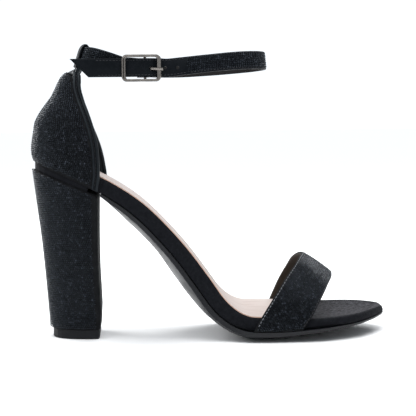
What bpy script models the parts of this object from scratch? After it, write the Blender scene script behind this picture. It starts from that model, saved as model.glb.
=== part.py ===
"""Block-heel sandal with an ankle strap, right foot, standing empty on its sole.

Metres, +Z up. +X points to the toe, +Y to the medial (inner) side and -Y to the lateral (buckle) side.
The origin is the centre of the heel's ground face. Heights and widths of the shoe are read from tables whose
rows are shares of the named sizes, so that a size can be changed by itself.
"""

import math

import bmesh
import bpy
import numpy as np
from mathutils import Vector

# Sole and last
SOLE_LENGTH = 0.2030        # back of the footbed to the toe tip, along the ground
SOLE_BACK_X = -0.0197       # back of the footbed's underside
SEAT_RISE = 0.0952          # footbed's underside at the heel, above its underside at the ball
TOE_SPRING = 0.0045         # footbed's underside at the toe tip, above the ball
BALL_WIDTH = 0.0785         # footbed at its widest
SEAT_WIDTH = 0.0492         # footbed in the heel cup
SEAT_LENGTH = 0.0342        # rounded part of the heel seat, in plan
SEAT_ROUNDNESS = 2.2        # exponent of the seat's plan curve
SEAT_FRONT_X = SOLE_BACK_X + SEAT_LENGTH
BED_THICKNESS = 0.0076
BED_TOP_RADIUS = 0.0013
BED_FOOT_RADIUS = 0.0008
BED_DISH = 0.0012           # hollow of the footbed under the foot
BED_RECESS = 0.0005         # the sock lies this far below the rim of the footbed
SEAT_LEAN = -0.24           # backward lean of the footbed's rear edge, as a slope
OUTSOLE_THICKNESS = 0.0058
OUTSOLE_REACH = 0.0003      # outsole beyond the footbed's edge
OUTSOLE_START_X = 0.0158
SOCK_THICKNESS = 0.0009
SOCK_INSET = 0.0013
SOCK_END_X = 0.1245         # under the vamp strap
TOE_ROLL = 0.0024           # length over which the footbed thins to its toe tip
STRAP_FOOT_RUN = 0.0140     # the outsole widens over this length towards the vamp strap's feet
BED_STEP = 0.0062           # between two sections of the footbed
OUTSOLE_STEP = 0.0058
GAP = 0.0003                # clearance between pieces that touch
CURVED_GAP = 0.0005         # clearance beside a curved wall

# Heel
HEEL_TOP_LENGTH = 0.0392
HEEL_TOP_WIDTH = 0.0520
HEEL_FRONT_X = 0.0151
HEEL_CORNER = 0.0016
HEEL_ROUNDNESS = 2.3
HEEL_SHOULDER = 0.0008
TIP_HEIGHT = 0.0053
TIP_INSET = 0.0013
TIP_EDGE = 0.0005           # rounding where the top piece meets the ground
WEDGE_BACK = 0.0037
WEDGE_FRONT = 0.0016
WEDGE_INSET = 0.0010        # behind the heel's front
WEDGE_SIDE_REACH = 0.0009   # wedge beyond the footbed at the sides
WEDGE_BACK_REACH = 0.0029   # and at the back, under the counter

# Upper
WALL = 0.0020
BINDING_WIDTH = 0.0047
BINDING_PROUD = 0.0003
COUNTER_HEIGHT = 0.0563     # rear edge of the counter above its own foot
COUNTER_TOP = 0.906         # share at which the counter ends under the neck, in the middle
COUNTER_TOP_DROP = 0.030    # and this much lower at the binding's edges
NECK_HEIGHT = 0.0065        # neck of the binding between the counter and the strap
NECK_SET_BACK = 0.0040      # the neck's foot lies this far behind its top
NECK_STRAIGHT = 0.25        # share of the neck that stands straight inside the loop
NECK_BEND = 2.2             # how early the rest of the neck bends backwards
COUNTER_TABLE_TOP = 0.91    # above this share the counter follows the ankle strap's line
VAMP_HEIGHT = 0.0400        # peak of the vamp strap's rear edge above the outsole
VAMP_FRONT_DROP = 0.0140    # front edge's peak below the rear edge's
VAMP_CROWN = 0.0007
VAMP_CLEARANCE = 0.0008     # between the strap's inside and the footbed
VAMP_ROUNDNESS = 2.3
STRAP_WIDTH = 0.0105
STRAP_WALL = 0.0016
STRAP_BACK_X = 0.0055
STRAP_LENGTH = 0.1064       # ankle loop's length, middle of the strap at the back to middle at the front
STRAP_HALF_WIDTH = 0.0206
STRAP_Z = 0.1556            # middle of the strap at the buckle
STRAP_RISE = 0.0082         # middle of the strap at the back loop, above the buckle's
LOOP_WALL = 0.0010
LOOP_CROWN = 0.0003         # rise of the fold over the strap
LOOP_SHOULDER = 0.0036      # the fold starts to round this far below the strap's top
LOOP_HALF_SPAN = 1.0        # loop and counter top reach this many ring rows each way from the heel
LOOP_ROOM = 0.0036          # inside the loop, across the strap
LOOP_OVERLAP = 0.0020       # loop's legs down over the counter's top edge
TAIL_TIP_X = -0.0006
TAIL_CUT = 1.0              # the tail's end runs back this far for each width down
STRAP_EDGE = 0.0004         # rounding of the strap's edges
STRAP_STEP = 0.0028         # between two sections of the strap
STRAP_SAG = 0.0003          # the long end dips this far before it meets the frame
SHORT_END = 0.0046          # the folded end reaches this far behind the centre bar
SHORT_END_RISE = 0.11       # the short strap climbs this share of the strap's rise right behind the fold

# Buckle
BUCKLE_LENGTH = 0.0225
BUCKLE_HEIGHT = 0.0155
BUCKLE_X = 0.0400
BUCKLE_DEPTH = 0.0017
BUCKLE_RAIL = 0.0016
BUCKLE_END_BAR = 0.0024
BUCKLE_CORNER = 0.0030
BUCKLE_BAR_X = 0.0021       # centre bar ahead of the frame's middle
BUCKLE_BAR_RADIUS = 0.0008
PRONG_RADIUS = 0.0008
PRONG_HOLE_RADIUS = 0.0014
PRONG_HOLE_RUN = 0.0090     # length of the hole's cutter, along the prong
PRONG_REST = 0.0010         # prong's tip beyond the frame's end bar
PRONG_DROP = 0.0008         # prong's tip below its hook
BUCKLE_EDGE = 0.00035       # rounding of the frame's edges
BUCKLE_BAR_BEND = 0.0012    # the centre bar's legs bend over this depth


def table(columns, *rows):
    """A short table: one array of numbers for each named column."""
    return dict(zip(columns.split(), np.array(rows, float).T))


PROFILE = table(
    # along the sole; rise in seat rises; spring in toe springs; thickness of the footbed in bed thicknesses
    "along rise spring thickness",
    (0.000, 1.000, 0.00, 1.00),
    (0.058, 0.948, 0.00, 1.02),
    (0.127, 0.880, 0.00, 1.05),
    (0.196, 0.799, 0.00, 1.09),
    (0.265, 0.694, 0.00, 1.13),
    (0.333, 0.550, 0.00, 1.15),
    (0.393, 0.400, 0.00, 1.15),
    (0.442, 0.257, 0.00, 1.15),
    (0.486, 0.127, 0.00, 1.13),
    (0.526, 0.052, 0.00, 1.10),
    (0.570, 0.010, 0.00, 1.05),
    (0.629, 0.000, 0.00, 1.00),
    (0.688, 0.000, 0.04, 0.92),
    (0.757, 0.000, 0.25, 0.72),
    (0.826, 0.000, 0.47, 0.66),
    (0.900, 0.000, 0.68, 0.64),
    (0.950, 0.000, 0.85, 0.60),
    (1.000, 0.000, 1.00, 0.50),
)

PLAN = table(
    "along lateral medial",  # half widths in ball widths, ahead of the seat
    (0.1685, 0.313, 0.313),
    (0.235, 0.308, 0.296),
    (0.309, 0.306, 0.283),
    (0.373, 0.326, 0.306),
    (0.442, 0.369, 0.357),
    (0.506, 0.430, 0.430),
    (0.570, 0.473, 0.484),
    (0.629, 0.488, 0.507),
    (0.688, 0.492, 0.512),
    (0.757, 0.487, 0.500),
    (0.826, 0.455, 0.472),
    (0.870, 0.412, 0.436),
    (0.910, 0.330, 0.388),
    (0.939, 0.240, 0.334),
    (0.969, 0.120, 0.258),
    (0.989, 0.015, 0.184),
    (1.000, -0.075, 0.105),
)

OUTSOLE = table(
    "along middle edge flatness",  # thicknesses in outsole thicknesses; flatness shapes the underside
    (0.175, 0.28, 0.21, 2.0),
    (0.205, 0.58, 0.34, 2.0),
    (0.240, 0.84, 0.38, 2.0),
    (0.274, 1.00, 0.40, 2.0),
    (0.343, 1.00, 0.41, 2.0),
    (0.407, 1.24, 0.45, 2.2),
    (0.442, 1.26, 0.47, 2.5),
    (0.476, 1.09, 0.48, 3.0),
    (0.511, 0.95, 0.46, 3.5),
    (0.550, 0.94, 0.44, 4.0),
    (0.590, 1.06, 0.43, 4.0),
    (0.660, 1.06, 0.42, 3.5),
    (0.713, 0.93, 0.38, 3.0),
    (0.762, 0.74, 0.31, 3.0),
    (0.836, 0.60, 0.27, 2.5),
    (0.910, 0.42, 0.19, 2.5),
    (0.959, 0.32, 0.16, 2.5),
    (1.000, 0.20, 0.13, 2.0),
)

HEEL = table(
    "up length width setback",  # shares of the heel's top length and top width; setback of the front in top lengths
    (0.0, 0.770, 0.704, 0.000),
    (0.2, 0.794, 0.738, 0.008),
    (0.4, 0.810, 0.792, 0.028),
    (0.6, 0.850, 0.862, 0.034),
    (0.8, 0.911, 0.935, 0.032),
    (1.0, 0.974, 1.000, 0.026),
)

COUNTER = table(
    # back and front: the wall's rear line and collar edges, in counter heights from its own rear foot
    "up back_x back_z lateral_x lateral_z medial_x medial_z half_width",
    (0.00, -0.010, 0.000, 0.650, -0.286, 0.692, -0.310, 0.487),
    (0.08, -0.037, 0.074, 0.672, -0.156, 0.720, -0.182, 0.487),
    (0.17, -0.040, 0.156, 0.672, -0.020, 0.704, -0.036, 0.481),
    (0.30, -0.022, 0.288, 0.662, 0.155, 0.668, 0.138, 0.453),
    (0.44, 0.006, 0.428, 0.625, 0.333, 0.603, 0.325, 0.405),
    (0.57, 0.083, 0.556, 0.572, 0.500, 0.536, 0.495, 0.350),
    (0.70, 0.176, 0.680, 0.524, 0.632, 0.490, 0.630, 0.294),
    (0.82, 0.246, 0.821, 0.488, 0.781, 0.464, 0.779, 0.234),
    (0.87, 0.286, 0.885, 0.490, 0.846, 0.472, 0.845, 0.203),
    (0.91, 0.342, 0.932, 0.484, 0.905, 0.474, 0.905, 0.172),
)

VAMP = table(
    "around rear front",  # lateral foot 0 to medial foot 1; edges along the sole
    (0.000, 0.596, 0.734),
    (0.083, 0.630, 0.762),
    (0.167, 0.663, 0.782),
    (0.250, 0.692, 0.801),
    (0.333, 0.720, 0.818),
    (0.417, 0.741, 0.834),
    (0.500, 0.755, 0.844),
    (0.583, 0.750, 0.845),
    (0.667, 0.738, 0.841),
    (0.750, 0.727, 0.834),
    (0.833, 0.709, 0.824),
    (0.917, 0.689, 0.811),
    (1.000, 0.666, 0.793),
)

STRAP_RING = table(
    # from behind the buckle back round the heel, forward on the medial side and back along the lateral side:
    # ahead in strap lengths, side in half widths, rise in strap rises, lean in degrees towards the ankle
    "ahead side rise lean",
    (0.230, -0.907, 0.14, 3),
    (0.144, -0.872, 0.52, 10),
    (0.066, -0.700, 0.84, 14),
    (0.014, -0.400, 0.97, 17),
    (0.000, 0.000, 1.00, 18),
    (0.014, 0.400, 0.95, 18),
    (0.066, 0.735, 0.82, 17),
    (0.155, 0.930, 0.56, 16),
    (0.325, 1.000, 0.20, 16),
    (0.515, 0.975, 0.12, 16),
    (0.705, 0.865, 0.22, 15),
    (0.862, 0.665, 0.36, 12),
    (0.955, 0.400, 0.46, 8),
    (1.000, 0.000, 0.54, 5),
    (0.960, -0.400, 0.56, 8),
    (0.862, -0.680, 0.52, 14),
    (0.705, -0.890, 0.34, 18),
    (0.535, -1.000, 0.10, 14),
    (0.460, -1.000, 0.00, 5),
)
RING_BACK = 4               # the row at the heel


def slopes(at, values):
    """Slopes that keep a curve through the rows smooth and never past them."""
    steps = np.diff(values) / np.diff(at)
    inner = np.where(
        steps[:-1] * steps[1:] > 0, 2 * steps[:-1] * steps[1:] / (steps[:-1] + steps[1:] + 1e-12), 0.0
    )
    return np.concatenate([[steps[0]], inner, [steps[-1]]])


def read(rows, column, where, key="along", tight=False):
    """The column's value at a place along the key column: a smooth curve through the rows, straight past the ends."""
    at, values = rows[key], rows[column]
    gradient = slopes(at, values) if tight else np.gradient(values, at)
    if where <= at[0]:
        return float(values[0] + (where - at[0]) * gradient[0])
    if where >= at[-1]:
        return float(values[-1] + (where - at[-1]) * gradient[-1])
    i = int(np.searchsorted(at, where, side="right")) - 1
    span = at[i + 1] - at[i]
    t = (where - at[i]) / span
    return float(
        (2 * t**3 - 3 * t**2 + 1) * values[i]
        + (t**3 - 2 * t**2 + t) * span * gradient[i]
        + (3 * t**2 - 2 * t**3) * values[i + 1]
        + (t**3 - t**2) * span * gradient[i + 1]
    )


def eased(low, high, value):
    """0 below low, 1 above high and a smooth step between."""
    t = min(max((value - low) / (high - low), 0.0), 1.0)
    return t * t * (3 - 2 * t)


def along_of(x):
    return (x - SOLE_BACK_X) / SOLE_LENGTH


def x_of(along):
    return SOLE_BACK_X + along * SOLE_LENGTH


def joint_z(x):
    """Height of the footbed's underside, where the wrapped edge meets the outsole."""
    along = along_of(x)
    rise = read(PROFILE, "rise", along) * SEAT_RISE + read(PROFILE, "spring", along) * TOE_SPRING
    return OUTSOLE_THICKNESS + GAP + rise


def lift_of(x):
    """Direction in which the footbed's thickness is measured: square to the underside, upright in the heel cup."""
    step = 0.001
    slope = (joint_z(x + step) - joint_z(x - step)) / (2 * step)
    square = Vector((-slope, 0, 1)).normalized()
    upright = Vector((SEAT_LEAN, 0, 1)) / (1 - SEAT_LEAN * slope) / square.z
    return upright.lerp(square, eased(SOLE_BACK_X, SOLE_BACK_X + 1.3 * SEAT_LENGTH, x))


def half_widths(x):
    """Lateral and medial reach of the footbed at x, both positive outwards."""
    if x < SEAT_FRONT_X:
        share = min((SEAT_FRONT_X - x) / SEAT_LENGTH, 1.0)
        reach = SEAT_WIDTH / 2 * (1 - share**SEAT_ROUNDNESS) ** (1 / SEAT_ROUNDNESS)
        return reach, reach
    along = min(along_of(x), 1.0)
    return tuple(read(PLAN, side, along, tight=True) * BALL_WIDTH for side in ("lateral", "medial"))


def bed_height(x):
    """Thickness of the footbed: padded behind the vamp strap, thin in front of it and rounded off at the tip."""
    from_tip = min(max(x_of(1.0) - x, 0.0) / TOE_ROLL, 1.0)
    roll = math.sqrt(1 - (1 - from_tip) ** 2)
    return read(PROFILE, "thickness", along_of(x)) * BED_THICKNESS * roll


def bed_point(x, y, height):
    """A point of the footbed's own space: across at y, and height above the underside at station x."""
    lift = lift_of(x)
    return Vector((x + lift.x * height, y, joint_z(x) + lift.z * height))


def dish(x, y):
    """How far the footbed's top lies below its edges at y."""
    lateral, medial = half_widths(x)
    middle, half = (medial - lateral) / 2, max((medial + lateral) / 2, 1e-4)
    share = min(abs(y - middle) / half, 1.0)
    return BED_RECESS + BED_DISH * (1 - share**2) * min(1.0, half / (SEAT_WIDTH / 2))


def seat_stations(first_angle, count):
    """Stations of the rounded seat, closer together at its back."""
    return [
        SEAT_FRONT_X - SEAT_LENGTH * math.cos(math.radians(first_angle + (90 - first_angle) * i / count))
        for i in range(count)
    ]


def toe_stations(start, count, end=1.0):
    """Stations from start to the toe tip, closer together near the tip."""
    last = x_of(end)
    return [start + (last - start) * math.sin(math.pi / 2 * i / count) for i in range(count + 1)]


def bed_stations():
    """Stations of the footbed from its back to the toe tip."""
    return seat_stations(5, 9) + list(np.arange(SEAT_FRONT_X, 0.120, BED_STEP)) + toe_stations(0.1245, 16, 0.9995)


MATERIALS = {}


def material(name, colour, roughness, metallic=0.0):
    if name not in MATERIALS:
        made = bpy.data.materials.new(name)
        made.use_nodes = True
        shader = made.node_tree.nodes["Principled BSDF"]
        shader.inputs["Base Color"].default_value = (*colour, 1)
        shader.inputs["Roughness"].default_value = roughness
        shader.inputs["Metallic"].default_value = metallic
        MATERIALS[name] = made
    return MATERIALS[name]


def new_object(name, mesh_data, finish, collection):
    made = bpy.data.objects.new(name, mesh_data)
    if finish is not None:
        made.data.materials.append(finish)
    collection.objects.link(made)
    return made


def loft(name, rings, finish, collection):
    """A closed body through rings of equally many points, capped at both ends."""
    body = bmesh.new()
    layers = [[body.verts.new(point) for point in ring] for ring in rings]
    count = len(rings[0])
    for low, high in zip(layers, layers[1:]):
        for i in range(count):
            j = (i + 1) % count
            body.faces.new((low[i], low[j], high[j], high[i]))
    body.faces.new(layers[0][::-1])
    body.faces.new(layers[-1])
    bmesh.ops.recalc_face_normals(body, faces=body.faces)
    if body.calc_volume(signed=True) < 0:
        bmesh.ops.reverse_faces(body, faces=body.faces)
    mesh_data = bpy.data.meshes.new(name)
    body.to_mesh(mesh_data)
    body.free()
    mesh_data.shade_smooth()
    mesh_data.set_sharp_from_angle(angle=math.radians(40))
    return new_object(name, mesh_data, finish, collection)


def square_to(surface, u, v, v_low):
    """Unit normal of surface(u, v) for u from 0 to 1 and v from v_low to 1, taken over a short stretch each way."""
    step = 0.015
    along_u = surface(min(u + step, 1.0), v) - surface(max(u - step, 0.0), v)
    along_v = surface(u, min(v + step, 1.0)) - surface(u, max(v - step, v_low))
    return along_u.cross(along_v).normalized()


def shell(name, surface, grid, v_low, outside, inside, finish, collection, keep=None):
    """A wall that reaches outside and inside of surface(u, v) at the grid's rows of (u, v); keep chooses the cells."""
    body = bmesh.new()
    sides = ([], [])
    for row in grid:
        places = [(surface(u, v), square_to(surface, u, v, v_low)) for u, v in row]
        sides[0].append([body.verts.new(point + normal * outside) for point, normal in places])
        sides[1].append([body.verts.new(point - normal * inside) for point, normal in places])
    cells = {
        (r, c)
        for r in range(len(grid) - 1)
        for c in range(len(grid[0]) - 1)
        if keep is None or keep(r, c)
    }
    outer, inner = sides
    for r, c in cells:
        corners = ((r, c), (r, c + 1), (r + 1, c + 1), (r + 1, c))
        body.faces.new([outer[i][j] for i, j in corners])
        body.faces.new([inner[i][j] for i, j in corners[::-1]])
        for k, (dr, dc) in enumerate(((-1, 0), (0, 1), (1, 0), (0, -1))):
            if (r + dr, c + dc) not in cells:
                (i, j), (m, n) = corners[k], corners[(k + 1) % 4]
                body.faces.new((outer[m][n], outer[i][j], inner[i][j], inner[m][n]))
    bmesh.ops.delete(body, geom=[v for v in body.verts if not v.link_faces], context="VERTS")
    bmesh.ops.recalc_face_normals(body, faces=body.faces)
    if body.calc_volume(signed=True) < 0:
        bmesh.ops.reverse_faces(body, faces=body.faces)
    mesh_data = bpy.data.meshes.new(name)
    body.to_mesh(mesh_data)
    body.free()
    mesh_data.shade_smooth()
    mesh_data.set_sharp_from_angle(angle=math.radians(40))
    return new_object(name, mesh_data, finish, collection)


def footbed(finish, collection):
    """The insole board and its wrap: one body with a rounded upper edge and a dished top."""
    rings = []
    for x in bed_stations():
        lateral, medial = half_widths(x)
        width = lateral + medial
        top, foot = min(BED_TOP_RADIUS, 0.3 * width), min(BED_FOOT_RADIUS, 0.1 * width)
        high = bed_height(x)
        left = [(-lateral + foot, 0.0), (-lateral, foot), (-lateral, high - top)]
        left += [(-lateral + 0.29 * top, high - 0.29 * top)]
        right = [(medial - 0.29 * top, high - 0.29 * top)]
        right += [(medial, high - top), (medial, foot), (medial - foot, 0.0)]
        middle = []
        for share in np.linspace(0, 1, 7):
            y = -lateral + top + (width - 2 * top) * share
            middle.append((y, high - dish(x, y)))
        rings.append([bed_point(x, y, h) for y, h in left + middle + right])
    return loft("footbed", rings, finish, collection)


def insole(finish, collection):
    """The sock lining on the footbed, from the heel cup to its end under the vamp strap."""
    stations = seat_stations(22, 8) + list(np.arange(SEAT_FRONT_X, SOCK_END_X, BED_STEP)) + [SOCK_END_X]
    rings = []
    for x in stations:
        lateral, medial = (reach - SOCK_INSET for reach in half_widths(x))
        across = [-lateral + (lateral + medial) * share for share in np.linspace(0, 1, 7)]
        floor = bed_height(x) + GAP
        under = [bed_point(x, y, floor - dish(x, y)) for y in across]
        over = [bed_point(x, y, floor + SOCK_THICKNESS - dish(x, y)) for y in across[::-1]]
        rings.append(under + over)
    return loft("insole", rings, finish, collection)


def outsole_reach(x):
    """The outsole's edge beyond the footbed: flush with the vamp strap's foot where that stands on it."""
    strap_start, strap_end = x_of(VAMP["rear"][0]), x_of(VAMP["front"][-1])
    opening = eased(strap_start - STRAP_FOOT_RUN, strap_start, x)
    window = opening * (1 - eased(strap_end, strap_end + STRAP_FOOT_RUN, x))
    return OUTSOLE_REACH + window * (VAMP_CLEARANCE + WALL)


def outsole(finish, collection):
    """The sole: rounded through the waist, flat on the ground at the ball, turned up at the toe."""
    first = OUTSOLE_START_X
    stations = list(np.arange(first, 0.120, OUTSOLE_STEP)) + toe_stations(0.1235, 16, 0.9995)
    rings = []
    for x in stations:
        along = along_of(x)
        lateral, medial = (reach + outsole_reach(x) for reach in half_widths(x))
        thick, edge = (read(OUTSOLE, c, along, tight=True) * OUTSOLE_THICKNESS for c in ("middle", "edge"))
        flat = read(OUTSOLE, "flatness", along, tight=True)
        half, middle = (lateral + medial) / 2, (medial - lateral) / 2
        points = [bed_point(x, -lateral, -GAP), bed_point(x, middle, -GAP), bed_point(x, medial, -GAP)]
        for share in (1.0, 0.965, 0.9, 0.8, 0.62, 0.4, 0.0, -0.4, -0.62, -0.8, -0.9, -0.965, -1.0):
            depth = edge + (thick - edge) * (1 - abs(share) ** flat)
            point = bed_point(x, middle + half * share, -GAP - depth)
            point.z = max(point.z, 0.0)
            points.append(point)
        rings.append(points)
    return loft("outsole", rings, finish, collection)


def d_plan(length, width, front_x, corner, count=18):
    """A heel's plan: a rounded back and a flat front with small corners, lateral front corner first."""
    half = width / 2
    straight = front_x - corner
    points = [(front_x, -half + corner), (front_x - 0.3 * corner, -half + 0.3 * corner)]
    for i in range(count + 1):
        angle = math.pi * i / count
        share_x, share_y = math.sin(angle), -math.cos(angle)
        x = straight - (length - corner) * abs(share_x) ** (2 / HEEL_ROUNDNESS)
        y = half * math.copysign(abs(share_y) ** (2 / HEEL_ROUNDNESS), share_y)
        points.append((x, y))
    return points + [(front_x - 0.3 * corner, half - 0.3 * corner), (front_x, half - corner)]


def heel_top_z(x):
    """The heel's flat, sloping top, under the wedge."""
    back_x = HEEL_FRONT_X - HEEL_TOP_LENGTH
    back = joint_z(back_x) - WEDGE_BACK - 2 * GAP
    front = joint_z(HEEL_FRONT_X) - WEDGE_FRONT - 2 * GAP
    return back + (front - back) * (x - back_x) / HEEL_TOP_LENGTH


def heel_block(finish, collection):
    """The covered block heel: it widens to the seat, and its top follows the seat's slope."""
    foot = TIP_HEIGHT + GAP
    rings = []
    for up in (0.0, 0.14, 0.28, 0.42, 0.56, 0.7, 0.84, 0.985, 1.0):
        inset = HEEL_SHOULDER if up in (0.0, 1.0) else 0.0
        length, width, setback = (read(HEEL, c, up, key="up") for c in ("length", "width", "setback"))
        front = HEEL_FRONT_X - setback * HEEL_TOP_LENGTH - inset
        plan = d_plan(
            length * HEEL_TOP_LENGTH - 2 * inset, width * HEEL_TOP_WIDTH - 2 * inset, front, HEEL_CORNER
        )
        rings.append([Vector((x, y, foot + (heel_top_z(x) - foot) * up)) for x, y in plan])
    return loft("heel_block", rings, finish, collection)


def heel_tip(finish, collection):
    """The rubber top piece that the heel stands on."""
    length = HEEL["length"][0] * HEEL_TOP_LENGTH - 2 * TIP_INSET
    width = HEEL["width"][0] * HEEL_TOP_WIDTH - 2 * TIP_INSET
    rings = []
    for z, inset in ((0.0, TIP_EDGE), (TIP_EDGE, 0.0), (TIP_HEIGHT, 0.0)):
        plan = d_plan(length - 2 * inset, width - 2 * inset, HEEL_FRONT_X - TIP_INSET - inset, HEEL_CORNER)
        rings.append([Vector((x, y, z)) for x, y in plan])
    return loft("heel_tip", rings, finish, collection)


def seat_wedge(finish, collection):
    """The plain wedge that levels the counter and the footbed onto the heel."""
    rings = []
    for bed_x in bed_stations():
        x = bed_x - WEDGE_BACK_REACH * max(SEAT_FRONT_X - bed_x, 0.0) / SEAT_LENGTH
        if x > HEEL_FRONT_X - WEDGE_INSET:
            break
        reach = half_widths(bed_x)[0] + WEDGE_SIDE_REACH
        low, high = heel_top_z(x) + GAP, joint_z(x) - GAP
        rings.append([Vector((x, y, z)) for y, z in ((-reach, low), (reach, low), (reach, high), (-reach, high))])
    return loft("seat_wedge", rings, finish, collection)


def strap_point(index):
    """Middle of the ankle strap at a place in the ring's rows, with its lean."""
    rows = {"row": np.arange(len(STRAP_RING["ahead"]), dtype=float), **STRAP_RING}
    ahead, side, rise, lean = (read(rows, c, index, key="row") for c in ("ahead", "side", "rise", "lean"))
    point = Vector((STRAP_BACK_X + ahead * STRAP_LENGTH, side * STRAP_HALF_WIDTH, STRAP_Z + rise * STRAP_RISE))
    return point, math.radians(lean)


def strap_frame(index):
    """Middle, outward and upward directions of the ankle strap at a place in the ring's rows."""
    step = 0.05
    point, lean = strap_point(index)
    along = (strap_point(index + step)[0] - strap_point(index - step)[0]).normalized()
    inward = along.cross(Vector((0, 0, 1))).normalized()
    up = Vector((0, 0, math.cos(lean))) + inward * math.sin(lean)
    outward = up.cross(along).normalized()
    return point, outward, along.cross(outward).normalized()


def counter_point(up, around):
    """The heel counter's outer surface: up from foot to top, around from the lateral collar edge (-1) to the
    medial one (+1). Its top follows the ankle strap that stands over it."""
    if up > COUNTER_TABLE_TOP:
        share = (1.0 - up) / (1.0 - COUNTER_TABLE_TOP)
        point, outward, upward = strap_frame(RING_BACK + around * LOOP_HALF_SPAN)
        below = STRAP_WIDTH / 2 + CURVED_GAP + share * NECK_HEIGHT
        t = max((share - NECK_STRAIGHT) / (1 - NECK_STRAIGHT), 0.0)
        behind = WALL / 2 + NECK_SET_BACK * t * t * (NECK_BEND - (NECK_BEND - 1) * t) * (1 - around**2)
        return point - upward * below + outward * behind
    size = COUNTER_HEIGHT
    foot_x = SOLE_BACK_X - CURVED_GAP - WALL
    foot_z = joint_z(foot_x)

    def value(column):
        return read(COUNTER, column, up, key="up") * size

    back = Vector((foot_x + value("back_x"), 0, foot_z + value("back_z")))
    side = "lateral" if around < 0 else "medial"
    front = Vector((foot_x + value(side + "_x"), 0, foot_z + value(side + "_z")))
    angle = abs(around) * math.pi / 2
    point = back.lerp(front, 1 - math.cos(angle) ** (2 / SEAT_ROUNDNESS))
    point.y = math.copysign(value("half_width") * math.sin(angle) ** (2 / SEAT_ROUNDNESS), around)
    if up == 0:
        point.z = joint_z(point.x)
    return point


def girth_share(up, distance):
    """The place in around at this distance from the collar edge, measured along the wall."""
    count = 60
    steps = [counter_point(up, i / count) for i in range(count + 1)]
    run = 0.0
    for i in range(count, 0, -1):
        step = (steps[i] - steps[i - 1]).length
        if run + step >= distance:
            return (i - (distance - run) / step) / count
        run += step
    return 0.0


COUNTER_UPS = (0.0, 0.05, 0.1, 0.17, 0.25, 0.33, 0.41, 0.49, 0.57, 0.65, 0.73, 0.81, 0.85, 0.885, 0.905)
NECK_UPS = (0.915, 0.93, 0.95, 0.975, 1.0)


def heel_counter(finish, collection):
    """The stone-covered heel counter, up to the collar binding."""
    grid = []
    for up in COUNTER_UPS[:-2] + (COUNTER_TOP,):
        edge = girth_share(up, BINDING_WIDTH + GAP)
        drop = COUNTER_TOP_DROP if up == COUNTER_TOP else 0.0
        grid.append([(up - drop * share**2, edge * share) for share in np.linspace(-1, 1, 25)])
    return shell("heel_counter", counter_point, grid, -1.0, 0.0, WALL, finish, collection)


def collar_binding(finish, collection):
    """The plain binding along the collar: up one front edge, over the top and down the other."""
    grid = []
    neck_start = len(COUNTER_UPS)
    for up in COUNTER_UPS + NECK_UPS:
        edge = girth_share(up, BINDING_WIDTH)
        half = [0.0, 0.25 * edge, 0.5 * edge, 0.75 * edge, edge, (edge + 1) / 2, 1.0]
        grid.append([(up, share) for share in [-share for share in half[:0:-1]] + half])
    last = len(grid[0]) - 2
    return shell(
        "collar_binding", counter_point, grid, -1.0, BINDING_PROUD, WALL + BINDING_PROUD, finish, collection,
        keep=lambda r, c: r >= neck_start or c < 2 or c > last - 2,
    )


def strap_loop(finish, collection):
    """The folded tab at the back: it straddles the counter's top and carries the ankle strap."""
    inner, outer = LOOP_ROOM / 2, LOOP_ROOM / 2 + LOOP_WALL
    inner_top = STRAP_WIDTH / 2 + GAP
    shoulder = inner_top - LOOP_SHOULDER
    foot = -(STRAP_WIDTH / 2 + CURVED_GAP + LOOP_OVERLAP)
    section = [(outer, foot)]
    for i in range(7):
        across, up = math.cos(math.pi * i / 6), math.sin(math.pi * i / 6)
        section.append((outer * across, shoulder + (LOOP_SHOULDER + LOOP_WALL + LOOP_CROWN) * up))
    section += [(-outer, foot), (-inner, foot), (-inner, inner_top - LOOP_SHOULDER / 2), (-0.6 * inner, inner_top)]
    section += [(0.0, inner_top + LOOP_CROWN), (0.6 * inner, inner_top), (inner, inner_top - LOOP_SHOULDER / 2)]
    section += [(inner, foot)]
    rings = []
    for share in np.linspace(-1, 1, 13):
        point, outward, upward = strap_frame(RING_BACK + share * LOOP_HALF_SPAN)
        rings.append([point + outward * s + upward * u for s, u in section])
    return loft("strap_loop", rings, finish, collection)


def vamp_point(around, across, foot_z):
    """The vamp strap's outer surface: around from the lateral foot (0) to the medial one (1), and across
    from the rear edge (0) to the front edge (1)."""
    angle = math.pi * around
    share_y, share_z = -math.cos(angle), math.sin(angle)
    rear, front = (read(VAMP, c, around, key="around") for c in ("rear", "front"))
    x = x_of(rear + (front - rear) * across)
    base = 0 if share_y < 0 else -1
    base_x = x_of(VAMP["rear"][base] + (VAMP["front"][base] - VAMP["rear"][base]) * across)
    reach = half_widths(base_x)[0 if share_y < 0 else 1] + VAMP_CLEARANCE + WALL
    height = VAMP_HEIGHT - VAMP_FRONT_DROP * across
    crown = VAMP_CROWN * 4 * across * (1 - across) * share_z
    y = math.copysign(abs(share_y) ** (2 / VAMP_ROUNDNESS) * reach, share_y)
    z = foot_z + height * abs(share_z) ** (2 / VAMP_ROUNDNESS) + crown
    return Vector((x, y, z))


def vamp_surface(across, around):
    """The vamp strap's outer surface, with its feet on the outsole."""
    return vamp_point(around, across, joint_z(vamp_point(around, across, 0.0).x))


def vamp_strap(finish, collection):
    grid = [[(across, around) for around in np.linspace(0, 1, 33)] for across in np.linspace(0, 1, 7)]
    return shell("vamp_strap", vamp_surface, grid, 0.0, 0.0, WALL, finish, collection)


def layer_y(place):
    """Where the strap's middle lies at the buckle: "inner" for the short end, "outer" for the long one under the
    frame's end bars, and "over" for the long one over the centre bar."""
    step = STRAP_WALL + GAP
    if place == "inner":
        return -STRAP_HALF_WIDTH + step
    if place == "outer":
        return -STRAP_HALF_WIDTH
    return frame_y() - BUCKLE_DEPTH / 2 + STRAP_WALL / 2


def frame_y():
    return -(STRAP_HALF_WIDTH + STRAP_WALL / 2 + GAP + BUCKLE_DEPTH / 2)


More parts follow.
